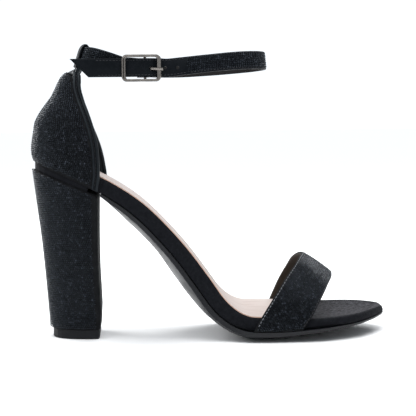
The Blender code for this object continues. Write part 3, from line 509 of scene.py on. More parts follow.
# %% The ankle strap, the counter and the vamp strap as surfaces
def strap_point(index):
    """Middle of the ankle strap at a place in the ring's rows, with its lean."""
    rows = {"row": np.arange(len(STRAP_RING["ahead"]), dtype=float), **STRAP_RING}
    ahead, side, rise, lean = (read(rows, c, index, key="row") for c in ("ahead", "side", "rise", "lean"))
    point = Vector(
        (STRAP_BACK_X + ahead * STRAP_LENGTH, side * STRAP_HALF_WIDTH, STRAP_Z + rise * STRAP_RISE)
    )
    return point, math.radians(lean)


def strap_frame(index):
    """Middle, outward and upward directions of the ankle strap at a place in the ring's rows."""
    step = 0.05
    point, lean = strap_point(index)
    along = (strap_point(index + step)[0] - strap_point(index - step)[0]).normalized()
    inward = along.cross(Vector((0, 0, 1))).normalized()
    up = Vector((0, 0, math.cos(lean))) + inward * math.sin(lean)
    outward = up.cross(along).normalized()
    return point, outward, along.cross(outward).normalized()


def counter_point(up, around):
    """The heel counter's outer surface: up from its foot (0) to its top (1), and around from the lateral
    collar edge (-1) to the medial one (+1). Its top follows the ankle strap that stands over it."""
    if up > COUNTER_TABLE_TOP:
        share = (1.0 - up) / (1.0 - COUNTER_TABLE_TOP)
        point, outward, upward = strap_frame(RING_BACK + around * LOOP_HALF_SPAN)
        below = STRAP_WIDTH / 2 + CURVED_GAP + share * NECK_HEIGHT
        t = max((share - NECK_STRAIGHT) / (1 - NECK_STRAIGHT), 0.0)
        behind = WALL / 2 + NECK_SET_BACK * t * t * (NECK_BEND - (NECK_BEND - 1) * t) * (1 - around**2)
        return point - upward * below + outward * behind
    size = COUNTER_HEIGHT
    foot_x = SOLE_BACK_X - CURVED_GAP - WALL
    foot_z = joint_z(foot_x)

    def value(column):
        return read(COUNTER, column, up, key="up") * size

    back = Vector((foot_x + value("back_x"), 0, foot_z + value("back_z")))
    side = "lateral" if around < 0 else "medial"
    front = Vector((foot_x + value(side + "_x"), 0, foot_z + value(side + "_z")))
    angle = abs(around) * math.pi / 2
    point = back.lerp(front, 1 - math.cos(angle) ** (2 / SEAT_ROUNDNESS))
    point.y = math.copysign(value("half_width") * math.sin(angle) ** (2 / SEAT_ROUNDNESS), around)
    if up == 0:
        point.z = joint_z(point.x)
    return point


def girth_share(up, distance):
    """The place in around at this distance from the collar edge, measured along the wall."""
    count = 60
    steps = [counter_point(up, i / count) for i in range(count + 1)]
    run = 0.0
    for i in range(count, 0, -1):
        step = (steps[i] - steps[i - 1]).length
        if run + step >= distance:
            return (i - (distance - run) / step) / count
        run += step
    return 0.0


def vamp_point(around, across, foot_z):
    """The vamp strap's outer surface: around from the lateral foot (0) to the medial one (1), and across
    from the rear edge (0) to the front edge (1)."""
    angle = math.pi * around
    share_y, share_z = -math.cos(angle), math.sin(angle)
    rear, front = (read(VAMP, c, around, key="around") for c in ("rear", "front"))
    x = x_of(rear + (front - rear) * across)
    base = 0 if share_y < 0 else -1
    base_x = x_of(VAMP["rear"][base] + (VAMP["front"][base] - VAMP["rear"][base]) * across)
    reach = half_widths(base_x)[0 if share_y < 0 else 1] + VAMP_CLEARANCE + WALL
    height = VAMP_HEIGHT - VAMP_FRONT_DROP * across
    crown = VAMP_CROWN * 4 * across * (1 - across) * share_z
    y = math.copysign(abs(share_y) ** (2 / VAMP_ROUNDNESS) * reach, share_y)
    z = foot_z + height * abs(share_z) ** (2 / VAMP_ROUNDNESS) + crown
    return Vector((x, y, z))


def vamp_surface(across, around):
    """The vamp strap's outer surface, with its feet on the outsole."""
    return vamp_point(around, across, joint_z(vamp_point(around, across, 0.0).x))


print("counter top in mm", [round(1000 * v, 1) for v in counter_point(1.0, 0.0)])

# %% Where the strap runs at the buckle
def layer_y(place):
    """Where the strap's middle lies at the buckle: "inner" for the short end, "outer" for the long one
    under the frame's end bars, and "over" for the long one over the centre bar."""
    step = STRAP_WALL + GAP
    if place == "inner":
        return -STRAP_HALF_WIDTH + step
    if place == "outer":
        return -STRAP_HALF_WIDTH
    return frame_y() - BUCKLE_DEPTH / 2 + STRAP_WALL / 2


def frame_y():
    return -(STRAP_HALF_WIDTH + STRAP_WALL / 2 + GAP + BUCKLE_DEPTH / 2)


def fold_radius():
    """Middle of the short end's fold round the centre bar."""
    return BUCKLE_BAR_RADIUS + GAP + STRAP_WALL / 2


def bar_place():
    return Vector((BUCKLE_X + BUCKLE_BAR_X, layer_y("over") + STRAP_WALL + GAP + fold_radius(), STRAP_Z))


def strap_route():
    """The ankle strap's middle line as (point, lean), from the fold at the buckle to the tail."""
    bar, radius = bar_place(), fold_radius()
    route = [(bar + Vector((x, radius, 0)), 0.0) for x in (-SHORT_END, -SHORT_END / 2)]
    for step in range(7):
        angle = math.pi * step / 6
        route.append((bar + Vector((radius * math.sin(angle), radius * math.cos(angle), 0)), 0.0))
    inner = layer_y("inner")
    half_way = (inner + bar.y - radius) / 2
    route.append((Vector((bar.x - BUCKLE_END_BAR, half_way, STRAP_Z + SHORT_END_RISE / 3 * STRAP_RISE)), 0.0))
    route.append(
        (Vector((bar.x - 2 * radius - SHORT_END, inner, STRAP_Z + SHORT_END_RISE * STRAP_RISE)), 0.0)
    )
    for row in range(len(STRAP_RING["ahead"])):
        route.append(strap_point(row))
    half = BUCKLE_LENGTH / 2 - BUCKLE_END_BAR / 2
    outer, over = layer_y("outer"), layer_y("over")
    for x, y in (
        (BUCKLE_X + half, outer),
        (BUCKLE_X + half - BUCKLE_END_BAR, outer - STRAP_SAG),
        (bar.x + 2 * STRAP_WALL, over + STRAP_SAG),
        (bar.x, over),
        (bar.x - 2.5 * STRAP_WALL, over + STRAP_SAG),
        (BUCKLE_X - half + BUCKLE_END_BAR, outer - STRAP_SAG),
        (BUCKLE_X - half, outer),
        (BUCKLE_X - half - STRAP_WIDTH / 2, outer),
        (TAIL_TIP_X + STRAP_WIDTH * (TAIL_CUT + 0.4), outer),
    ):
        route.append((Vector((x, y, STRAP_Z + STRAP_SAG)), 0.0))
    return route


def smooth_route(route, spacing):
    """Points along a smooth curve through the route, about this far apart."""
    points = []
    for i in range(len(route) - 1):
        before, (start, lean_0), (end, lean_1), after = (
            route[max(i - 1, 0)][0], route[i], route[i + 1], route[min(i + 2, len(route) - 1)][0],
        )
        span = (end - start).length
        count = max(1, round(span / spacing))
        leave = (end - before) * (span / max((end - before).length, 1e-9))
        arrive = (after - start) * (span / max((after - start).length, 1e-9))
        for k in range(count):
            t = k / count
            point = (
                start * (2 * t**3 - 3 * t**2 + 1) + leave * (t**3 - 2 * t**2 + t)
                + end * (3 * t**2 - 2 * t**3) + arrive * (t**3 - t**2)
            )
            points.append((point, lean_0 + (lean_1 - lean_0) * t))
    return points + [route[-1]]


def prong_route():
    """The prong's middle line: hooked round the centre bar, through the strap's hole, onto the end bar."""
    bar, hook = bar_place(), BUCKLE_BAR_RADIUS + GAP + PRONG_RADIUS
    points = []
    for degrees in (20, -20, -60, -100, -140, -180):
        angle = math.radians(degrees)
        points.append(bar + Vector((hook * math.sin(angle), hook * math.cos(angle), 0)))
    face = frame_y() - BUCKLE_DEPTH / 2 - GAP - PRONG_RADIUS
    rest_x = BUCKLE_X + BUCKLE_LENGTH / 2 - BUCKLE_END_BAR / 2
    start = points[-1]
    for share in (0.18, 0.36, 0.54, 0.72, 0.9, 1.0):
        x = start.x + (rest_x - start.x) * share
        points.append(
            Vector((x, start.y + (face - start.y) * eased(0.0, 0.95, share), bar.z - share * PRONG_DROP))
        )
    points.append(Vector((rest_x + BUCKLE_END_BAR / 2 + PRONG_REST, face, bar.z - PRONG_DROP)))
    return points


print("centre bar in mm", [round(1000 * v, 1) for v in bar_place()])

# %% [markdown]
# ## Finishes
# Three effects come back in several finishes: the nap of cloth, the pebbled grain of leather and rubber,
# and the faint dust and rubbing that every shoe has. Each is a node group, made once, with named inputs.
# The groups only put out colours, masks and heights, and the shader stays in the material.

# %% A helper for node groups
def new_group(name, inputs, outputs):
    group = bpy.data.node_groups.new(name, "ShaderNodeTree")
    for label, kind, value in inputs:
        socket = group.interface.new_socket(name=label, in_out="INPUT", socket_type=kind)
        socket.default_value = value
    for label, kind in outputs:
        group.interface.new_socket(name=label, in_out="OUTPUT", socket_type=kind)
    return group, group.nodes.new("NodeGroupInput"), group.nodes.new("NodeGroupOutput")


def noise(tree, vector, scale, detail=3.0, rough=0.55):
    node = tree.nodes.new("ShaderNodeTexNoise")
    node.inputs["Detail"].default_value = detail
    node.inputs["Roughness"].default_value = rough
    tree.links.new(vector, node.inputs["Vector"])
    if isinstance(scale, (int, float)):
        node.inputs["Scale"].default_value = scale
    else:
        tree.links.new(scale, node.inputs["Scale"])
    return node.outputs["Fac"]


def span(tree, value, low, high, to_low=0.0, to_high=1.0):
    node = tree.nodes.new("ShaderNodeMapRange")
    for label, number in (("From Min", low), ("From Max", high), ("To Min", to_low), ("To Max", to_high)):
        node.inputs[label].default_value = number
    tree.links.new(value, node.inputs["Value"])
    return node.outputs["Result"]


def blend(tree, share, first, second):
    node = tree.nodes.new("ShaderNodeMix")
    node.data_type = "RGBA"
    tree.links.new(share, node.inputs["Factor"])
    for label, source in (("A", first), ("B", second)):
        socket = next(s for s in node.inputs if s.name == label and s.type == "RGBA")
        if isinstance(source, tuple):
            socket.default_value = (*source, 1)
        else:
            tree.links.new(source, socket)
    return next(s for s in node.outputs if s.type == "RGBA")


def calculate(tree, operation, first, second):
    node = tree.nodes.new("ShaderNodeMath")
    node.operation = operation
    for socket, source in zip(node.inputs, (first, second)):
        if isinstance(source, (int, float)):
            socket.default_value = source
        else:
            tree.links.new(source, socket)
    return node.outputs["Value"]


# %% Nap: short fibres that lie in patches
nap_group, nap_in, nap_out = new_group(
    "cloth_nap",
    [("Colour", "NodeSocketColor", (0.02, 0.02, 0.02, 1)),
     ("Brushed Colour", "NodeSocketColor", (0.05, 0.05, 0.05, 1)),
     ("Fibre Scale", "NodeSocketFloat", 2600.0), ("Patch Scale", "NodeSocketFloat", 90.0)],
    [("Colour", "NodeSocketColor"), ("Roughness", "NodeSocketFloat"), ("Height", "NodeSocketFloat")],
)
place = nap_group.nodes.new("ShaderNodeTexCoord").outputs["Object"]
fibre = noise(nap_group, place, nap_in.outputs["Fibre Scale"], 2.0, 0.7)
patch = noise(nap_group, place, nap_in.outputs["Patch Scale"], 3.0)
share = calculate(nap_group, "MULTIPLY", span(nap_group, patch, 0.32, 0.68), span(nap_group, fibre, 0.3, 0.7))
colour = blend(nap_group, share, nap_in.outputs["Colour"], nap_in.outputs["Brushed Colour"])
nap_group.links.new(colour, nap_out.inputs["Colour"])
nap_group.links.new(span(nap_group, patch, 0.3, 0.7, 0.95, 0.78), nap_out.inputs["Roughness"])
height = calculate(nap_group, "ADD", fibre, calculate(nap_group, "MULTIPLY", patch, 0.5))
nap_group.links.new(height, nap_out.inputs["Height"])
print("group", nap_group.name, "with", len(nap_group.nodes), "nodes")

# %% Grain: small rounded pebbles
grain_group, grain_in, grain_out = new_group(
    "pebbled_grain",
    [("Grain Scale", "NodeSocketFloat", 1500.0)],
    [("Height", "NodeSocketFloat"), ("Hollows", "NodeSocketFloat")],
)
place = grain_group.nodes.new("ShaderNodeTexCoord").outputs["Object"]
cells = grain_group.nodes.new("ShaderNodeTexVoronoi")
cells.feature = "DISTANCE_TO_EDGE"
grain_group.links.new(place, cells.inputs["Vector"])
grain_group.links.new(grain_in.outputs["Grain Scale"], cells.inputs["Scale"])
pebble = span(grain_group, cells.outputs["Distance"], 0.0, 0.25)
grain_group.links.new(pebble, grain_out.inputs["Height"])
grain_group.links.new(span(grain_group, pebble, 0.0, 0.5, 1.0, 0.0), grain_out.inputs["Hollows"])
print("group", grain_group.name)

# %% Wear: faint dust and rubbed places
wear_group, wear_in, wear_out = new_group(
    "dust_and_rubbing",
    [("Colour", "NodeSocketColor", (0.05, 0.05, 0.05, 1)),
     ("Dust Colour", "NodeSocketColor", (0.2, 0.19, 0.18, 1)),
     ("Amount", "NodeSocketFloat", 0.15), ("Size", "NodeSocketFloat", 60.0),
     ("Clean Roughness", "NodeSocketFloat", 0.4), ("Dusty Roughness", "NodeSocketFloat", 0.7)],
    [("Colour", "NodeSocketColor"), ("Roughness", "NodeSocketFloat"), ("Dust", "NodeSocketFloat")],
)
place = wear_group.nodes.new("ShaderNodeTexCoord").outputs["Object"]
cloud = span(wear_group, noise(wear_group, place, wear_in.outputs["Size"], 6.0, 0.65), 0.42, 0.72)
dust = calculate(wear_group, "MULTIPLY", cloud, wear_in.outputs["Amount"])
dusted = blend(wear_group, dust, wear_in.outputs["Colour"], wear_in.outputs["Dust Colour"])
wear_group.links.new(dusted, wear_out.inputs["Colour"])
gloss = wear_group.nodes.new("ShaderNodeMix")
wear_group.links.new(cloud, gloss.inputs["Factor"])
wear_group.links.new(wear_in.outputs["Clean Roughness"], gloss.inputs["A"])
wear_group.links.new(wear_in.outputs["Dusty Roughness"], gloss.inputs["B"])
wear_group.links.new(gloss.outputs["Result"], wear_out.inputs["Roughness"])
wear_group.links.new(dust, wear_out.inputs["Dust"])
print("group", wear_group.name)

# %% [markdown]
# Each finish is then one material: a group or two, a Bump node and one Principled shader. Numbers that are
# the same all over, such as sheen or specular level, are typed on the shader itself.

# %% Helpers for finishes
def place_group(tree, group, **values):
    node = tree.nodes.new("ShaderNodeGroup")
    node.node_tree = group
    for label, value in values.items():
        socket = node.inputs[label.replace("_", " ")]
        socket.default_value = (*value, 1) if isinstance(value, tuple) else value
    return node


def bump(tree, shader, height, strength, distance):
    node = tree.nodes.new("ShaderNodeBump")
    node.inputs["Strength"].default_value = strength
    node.inputs["Distance"].default_value = distance
    tree.links.new(height, node.inputs["Height"])
    tree.links.new(node.outputs["Normal"], shader.inputs["Normal"])


def napped(name, colour, brushed, fibre_scale, patch_scale, strength, sheen, tint):
    made, tree, shader = plain_material(name, colour, 0.9)
    shader.inputs["Specular IOR Level"].default_value = 0.15
    nap = place_group(
        tree, nap_group, Colour=colour, Brushed_Colour=brushed,
        Fibre_Scale=fibre_scale, Patch_Scale=patch_scale,
    )
    tree.links.new(nap.outputs["Colour"], shader.inputs["Base Color"])
    tree.links.new(nap.outputs["Roughness"], shader.inputs["Roughness"])
    bump(tree, shader, nap.outputs["Height"], strength, 0.0001)
    shader.inputs["Sheen Weight"].default_value = sheen
    shader.inputs["Sheen Roughness"].default_value = 0.4
    shader.inputs["Sheen Tint"].default_value = (*tint, 1)
    return made


def worn(
    name, colour, dust_colour, amount, size, clean, dusty, grain_scale, strength, specular, tint=(1, 1, 1)
):
    made, tree, shader = plain_material(name, colour, clean)
    wear = place_group(
        tree, wear_group, Colour=colour, Dust_Colour=dust_colour, Amount=amount, Size=size,
        Clean_Roughness=clean, Dusty_Roughness=dusty,
    )
    grain = place_group(tree, grain_group, Grain_Scale=grain_scale)
    tree.links.new(wear.outputs["Colour"], shader.inputs["Base Color"])
    tree.links.new(wear.outputs["Roughness"], shader.inputs["Roughness"])
    bump(tree, shader, grain.outputs["Height"], strength, 0.00005)
    shader.inputs["Specular IOR Level"].default_value = specular
    shader.inputs["Specular Tint"].default_value = (*tint, 1)
    return made


# %% Cloth, leather, rubber and thread
COOL_GLOSS = (0.78, 0.92, 1.0)
wrap = napped(
    "black_wrap_cloth", (0.0045, 0.005, 0.0068), (0.0085, 0.0095, 0.0125), fibre_scale=2400.0,
    patch_scale=70.0, strength=0.35, sheen=0.01, tint=(0.8, 0.9, 1.0),
)
stone_ground = napped(
    "stone_ground_cloth", (0.004, 0.0044, 0.0052), (0.009, 0.0098, 0.0115), fibre_scale=1800.0,
    patch_scale=200.0, strength=0.5, sheen=0.01, tint=(0.9, 0.95, 1.0),
)
binding_leather = worn(
    "binding_leather", (0.0030, 0.0035, 0.0048), (0.012, 0.013, 0.016), amount=0.35, size=220.0,
    clean=0.36, dusty=0.60, grain_scale=1700.0, strength=0.35, specular=0.26, tint=COOL_GLOSS,
)
strap_leather = worn(
    "strap_leather", (0.0026, 0.0031, 0.0044), (0.010, 0.011, 0.014), amount=0.35, size=220.0,
    clean=0.46, dusty=0.70, grain_scale=1700.0, strength=0.35, specular=0.10, tint=COOL_GLOSS,
)
strap_lining = worn(
    "strap_lining", (0.008, 0.0075, 0.0075), (0.022, 0.021, 0.021), amount=0.5, size=200.0,
    clean=0.6, dusty=0.85, grain_scale=1400.0, strength=0.4, specular=0.2,
)
sock_edge = worn(
    "sock_cut_edge", (0.62, 0.39, 0.29), (0.66, 0.48, 0.40), amount=0.5, size=300.0,
    clean=0.7, dusty=0.85, grain_scale=1500.0, strength=0.2, specular=0.2,
)
lining_leather = worn(
    "lining_leather", (0.030, 0.022, 0.015), (0.075, 0.058, 0.042), amount=0.5, size=120.0,
    clean=0.65, dusty=0.85, grain_scale=900.0, strength=0.5, specular=0.3,
)
sole_rubber = worn(
    "sole_rubber", (0.0055, 0.006, 0.0078), (0.018, 0.0195, 0.023), amount=0.35, size=75.0,
    clean=0.36, dusty=0.56, grain_scale=700.0, strength=0.15, specular=0.32,
)
tip_rubber = worn(
    "tip_rubber", (0.0055, 0.0062, 0.008), (0.018, 0.0195, 0.023), amount=0.4, size=160.0,
    clean=0.5, dusty=0.75, grain_scale=1600.0, strength=0.3, specular=0.2,
)
dark_thread = worn(
    "dark_thread", (0.020, 0.021, 0.025), (0.05, 0.05, 0.056), amount=0.5, size=900.0,
    clean=0.6, dusty=0.8, grain_scale=3000.0, strength=0.4, specular=0.35,
)
grey_thread = worn(
    "grey_thread", (0.17, 0.18, 0.20), (0.32, 0.33, 0.35), amount=0.6, size=900.0,
    clean=0.5, dusty=0.7, grain_scale=3000.0, strength=0.4, specular=0.45,
)
print("materials:", len(bpy.data.materials))

# %% [markdown]
# The footbed is one wrapped piece, but in front of the vamp strap its top is brushed, so that it looks
# lighter and speckled, and it fades to the smooth black side over the rounded edge. A number kept on each
# point of the mesh says how brushed the cloth is there, and an Attribute node reads it to mix the two pairs
# of colours.

# %% Footbed cloth
bed_cloth, tree, shader = plain_material("footbed_cloth", (0.005, 0.005, 0.007), 0.9)
brushed = tree.nodes.new("ShaderNodeAttribute")
brushed.attribute_name = "brushed"
nap = place_group(tree, nap_group, Fibre_Scale=1300.0, Patch_Scale=560.0)
for label, smooth_colour, brushed_colour in (
    ("Colour", (0.0045, 0.005, 0.0068), (0.008, 0.0078, 0.009)),
    ("Brushed Colour", (0.0085, 0.0095, 0.0125), (0.092, 0.092, 0.106)),
):
    tree.links.new(blend(tree, brushed.outputs["Fac"], smooth_colour, brushed_colour), nap.inputs[label])
tree.links.new(nap.outputs["Colour"], shader.inputs["Base Color"])
tree.links.new(nap.outputs["Roughness"], shader.inputs["Roughness"])
bump(tree, shader, nap.outputs["Height"], 0.8, 0.00012)
shader.inputs["Specular IOR Level"].default_value = 0.12
print("footbed cloth reads the attribute", brushed.attribute_name)

# %% [markdown]
# The sock is pale pink leather. Its creases get painted shade: the mesh carries a second number, the depth of
# the crease at each point, and the finish turns darker and browner with it.

# %% Sock leather
SOCK_COLOUR = (0.445, 0.378, 0.350)
SOCK_DUST = (0.500, 0.445, 0.422)
# painted shade for the creases: the darker brown that the deepest troughs take
SOCK_CREASE_SHADE = (0.30, 0.225, 0.19)
sock_leather, tree, shader = plain_material("sock_leather", SOCK_COLOUR, 0.65)
wear = place_group(
    tree, wear_group, Colour=SOCK_COLOUR, Dust_Colour=SOCK_DUST, Amount=0.7, Size=55.0,
    Clean_Roughness=0.62, Dusty_Roughness=0.78,
)
# Painted shade: the deeper the crease at a point, the more its colour turns to the darker brown.
crease_shade = tree.nodes.new("ShaderNodeAttribute")
crease_shade.attribute_name = "crease_shade"
crease_shaded = blend(tree, crease_shade.outputs["Fac"], wear.outputs["Colour"], SOCK_CREASE_SHADE)
tree.links.new(crease_shaded, shader.inputs["Base Color"])
tree.links.new(wear.outputs["Roughness"], shader.inputs["Roughness"])
grain = place_group(tree, grain_group, Grain_Scale=1100.0)
bump(tree, shader, grain.outputs["Height"], 0.12, 0.00005)
shader.inputs["Specular IOR Level"].default_value = 0.3
print("sock leather reads the attribute", crease_shade.attribute_name)

# %% [markdown]
# The buckle is pewter: a metal with a soft, uneven gloss that is darker where hands have not rubbed it. A
# full Metallic value keeps its reflections coloured like the metal.

# %% Pewter
pewter, tree, shader = plain_material("pewter_metal", (0.42, 0.39, 0.36), 0.34)
wear = place_group(
    tree, wear_group, Colour=(0.24, 0.222, 0.205), Dust_Colour=(0.085, 0.078, 0.072), Amount=0.8, Size=260.0,
    Clean_Roughness=0.26, Dusty_Roughness=0.48,
)
tree.links.new(wear.outputs["Colour"], shader.inputs["Base Color"])
tree.links.new(wear.outputs["Roughness"], shader.inputs["Roughness"])
shader.inputs["Metallic"].default_value = 1.0
bump(tree, shader, wear.outputs["Dust"], 0.25, 0.00005)
print("pewter ready")

# %% [markdown]
# The stones are black glass with flat cut faces. Real ones differ a little: some are smokier. Random Per
# Island gives each stone its own number, since every stone is a loose island of one mesh, and that number
# picks its shade. The lightest few shades are painted glints, for stones that face a lamp and flash.

# %% Black glass stones
stone_glass, tree, shader = plain_material("stone_glass", (0.012, 0.013, 0.016), 0.14)
# places on the colour ramp, each with its grey; the two lightest greys are painted glints
STONE_SHADES_AND_GLINTS = ((0.0, 0.0015), (0.5, 0.004), (0.8, 0.009), (0.95, 0.022), (1.0, 0.045))
island = tree.nodes.new("ShaderNodeNewGeometry").outputs["Random Per Island"]
shade_glint_ramp = tree.nodes.new("ShaderNodeValToRGB")
shade_glint_ramp.color_ramp.interpolation = "LINEAR"
shade_glint_ramp.color_ramp.elements.remove(shade_glint_ramp.color_ramp.elements[1])
for position, grey in STONE_SHADES_AND_GLINTS:
    step = shade_glint_ramp.color_ramp.elements.new(position) if position else shade_glint_ramp.color_ramp.elements[0]
    step.color = (grey * 0.80, grey * 0.92, grey * 1.15, 1)
tree.links.new(island, shade_glint_ramp.inputs["Fac"])
tree.links.new(shade_glint_ramp.outputs["Color"], shader.inputs["Base Color"])
film = place_group(tree, wear_group, Amount=0.2, Size=500.0, Clean_Roughness=0.16, Dusty_Roughness=0.38)
tree.links.new(film.outputs["Roughness"], shader.inputs["Roughness"])
shader.inputs["Specular IOR Level"].default_value = 0.31
shader.inputs["Specular Tint"].default_value = (0.70, 0.83, 1.0, 1)
print("stone shades:", len(shade_glint_ramp.color_ramp.elements))

# %% [markdown]
# ## Making meshes
# Three ways of making a mesh serve the whole shoe. A loft closes a row of rings, as for the sole. A wall
# gives a curved surface its thickness, as for the counter and the vamp strap. A scatter joins many copies
# of one small shape into one mesh, as for stones and stitches.

# %% Loft, wall and finishing touches
def finished(name, body, materials, sharp=45):
    """Links the mesh as a piece that rides with the shoe."""
    bmesh.ops.recalc_face_normals(body, faces=body.faces)
    if body.calc_volume(signed=True) < 0:
        bmesh.ops.reverse_faces(body, faces=body.faces)
    data = bpy.data.meshes.new(name)
    body.to_mesh(data)
    body.free()
    for made in materials:
        data.materials.append(made)
    data.shade_smooth()
    data.set_sharp_from_angle(angle=math.radians(sharp))
    piece = bpy.data.objects.new(name, data)
    bpy.context.scene.collection.objects.link(piece)
    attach(piece, "root")
    return piece


def loft(name, rings, materials, sharp=45, closed=False, choose=None):
    """A body through rings of equally many points; closed joins the last ring to the first."""
    body = bmesh.new()
    layers = [[body.verts.new(point) for point in ring] for ring in rings]
    count = len(rings[0])
    pairs = list(zip(layers, layers[1:])) + ([(layers[-1], layers[0])] if closed else [])
    for row, (low, high) in enumerate(pairs):
        for i in range(count):
            j = (i + 1) % count
            face = body.faces.new((low[i], low[j], high[j], high[i]))
            if choose:
                face.material_index = choose(row, i)
    if not closed:
        body.faces.new(layers[0][::-1])
        body.faces.new(layers[-1])
    return finished(name, body, materials, sharp)


def square_to(surface, u, v, v_low=-1.0):
    """Unit normal of surface(u, v), over a short stretch each way."""
    step = 0.012
    along_u = surface(min(u + step, 1.0), v) - surface(max(u - step, 0.0), v)
    along_v = surface(u, min(v + step, 1.0)) - surface(u, max(v - step, v_low))
    return along_u.cross(along_v).normalized()


def wall(name, surface, grid, v_low, outside, inside, materials, keep=None):
    """A wall from outside(r, c) to inside(r, c) of a surface; its inner side takes the second material."""
    body = bmesh.new()
    outer, inner = [], []
    for r, row in enumerate(grid):
        places = [(surface(u, v), square_to(surface, u, v, v_low)) for u, v in row]
        outer.append([body.verts.new(p + n * outside(r, c)) for c, (p, n) in enumerate(places)])
        inner.append([body.verts.new(p - n * inside(r, c)) for c, (p, n) in enumerate(places)])
    cells = {
        (r, c) for r in range(len(grid) - 1) for c in range(len(grid[0]) - 1) if keep is None or keep(r, c)
    }
    for r, c in cells:
        corners = ((r, c), (r, c + 1), (r + 1, c + 1), (r + 1, c))
        body.faces.new([outer[i][j] for i, j in corners])
        lined = body.faces.new([inner[i][j] for i, j in corners[::-1]])
        lined.material_index = len(materials) - 1
        for k, (dr, dc) in enumerate(((-1, 0), (0, 1), (1, 0), (0, -1))):
            if (r + dr, c + dc) not in cells:
                (i, j), (m, n) = corners[k], corners[(k + 1) % 4]
                body.faces.new((outer[m][n], outer[i][j], inner[i][j], inner[m][n]))
    bmesh.ops.delete(body, geom=[v for v in body.verts if not v.link_faces], context="VERTS")
    return finished(name, body, materials)


def scatter(name, shape, faces, places, finish, smooth=False):
    """One mesh of many copies: shape is points in a unit frame, places are (origin, three axes) as arrays."""
    origins, axes = places
    points = origins[:, None, :] + np.einsum("pk,nkj->npj", shape, axes)
    count, each = points.shape[:2]
    made_faces = [tuple(int(i) + each * n for i in face) for n in range(count) for face in faces]
    data = bpy.data.meshes.new(name)
    data.from_pydata(points.reshape(-1, 3).tolist(), [], made_faces)
    data.materials.append(finish)
    if smooth:
        data.shade_smooth()
    piece = bpy.data.objects.new(name, data)
    bpy.context.scene.collection.objects.link(piece)
    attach(piece, "root")
    print(name, count, "copies,", sum(len(f) - 2 for f in made_faces), "triangles")
    return piece


# %% Stitches along a line
def runs_of(points):
    """Distance along a line of points."""
    steps = np.linalg.norm(np.diff(points, axis=0), axis=1)
    return np.concatenate([[0.0], np.cumsum(steps)])


STITCH_PITCH, STITCH_LENGTH = 0.0019, 0.0014
THREAD, FINE_THREAD = 0.00038, 0.00034


def stitches(name, line, normals, thread, thickness=THREAD, pitch=STITCH_PITCH, length=STITCH_LENGTH):
    """A row of thread stitches that lie on a line, each one a small rounded lozenge."""
    line, normals = np.array(line, float), np.array(normals, float)
    runs = runs_of(line)
    at = np.arange(pitch / 2, runs[-1] - pitch / 3, pitch)
    spots = np.stack([np.interp(at, runs, line[:, k]) for k in range(3)], 1)
    ahead = np.stack([np.interp(at + pitch / 4, runs, line[:, k]) for k in range(3)], 1)
    upward = np.stack([np.interp(at, runs, normals[:, k]) for k in range(3)], 1)
    along = ahead - spots
    along /= np.linalg.norm(along, axis=1)[:, None]
    side = np.cross(upward, along)
    side /= np.linalg.norm(side, axis=1)[:, None]
    upward = np.cross(along, side)
    axes = np.stack([along * length / 2, side * thickness / 2, upward * thickness / 2], 1)
    shape, faces = [(-1.0, 0, 0)], []
    for x, size in ((-0.75, 0.75), (0.0, 1.0), (0.75, 0.75)):
        shape += [(x, size * math.cos(k * math.pi / 3), size * math.sin(k * math.pi / 3)) for k in range(6)]
    shape.append((1.0, 0, 0))
    for k in range(6):
        n = (k + 1) % 6
        faces += [
            (0, 1 + n, 1 + k), (1 + k, 1 + n, 7 + n, 7 + k), (7 + k, 7 + n, 13 + n, 13 + k),
            (13 + k, 13 + n, 19),
        ]
    return scatter(name, np.array(shape), faces, (spots, axes), thread, smooth=True)


# %% [markdown]
# ## Sole, top piece and wedge
# The sole is moulded rubber: thin and flat under the ball, and a thick rounded rib through the waist, where
# it catches a grey light from the floor. A loft of cross sections follows it better than a pushed plane
# would, because the middle and the edge change thickness on their own.

# %% The sole
def outsole_reach(x):
    strap_start, strap_end = x_of(VAMP["rear"][0]), x_of(VAMP["front"][-1])
    opening = eased(strap_start - STRAP_FOOT_RUN, strap_start, x)
    window = opening * (1 - eased(strap_end, strap_end + STRAP_FOOT_RUN, x))
    return OUTSOLE_REACH + window * (VAMP_CLEARANCE + WALL)


sole_stations = list(np.arange(OUTSOLE_START_X, 0.120, 0.0029)) + toe_stations(0.1216, 26, 0.9995)
rings = []
for x in sole_stations:
    along = along_of(x)
    lateral, medial = (reach + outsole_reach(x) for reach in half_widths(x))
    thick, edge = (read(OUTSOLE, c, along, tight=True) * OUTSOLE_THICKNESS for c in ("middle", "edge"))
    flat = read(OUTSOLE, "flatness", along, tight=True)
    half, middle = (lateral + medial) / 2, (medial - lateral) / 2
    ring = [bed_point(x, -lateral + (lateral + medial) * k / 6, -GAP) for k in range(7)]
    shares = [math.sin(math.pi / 2 * (1 - k / 11)) for k in range(23)]
    for share in shares:
        depth = edge + (thick - edge) * (1 - abs(share) ** flat)
        point = bed_point(x, middle + half * share, -GAP - depth)
        point.z = max(point.z, 0.0)
        ring.append(point)
    rings.append(ring)
sole = loft("sole_rubber_piece", rings, [sole_rubber], sharp=50)
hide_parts("outsole")
print("sole rings:", len(rings))

# %% Pieces that keep their solids
for node, made in (
    ("heel_tip", tip_rubber), ("seat_wedge", wrap), ("heel_block", stone_ground), ("buckle_prong", pewter)
):
    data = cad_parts[node].data
    data.materials.clear()
    data.materials.append(made)
print("kept nodes dressed")
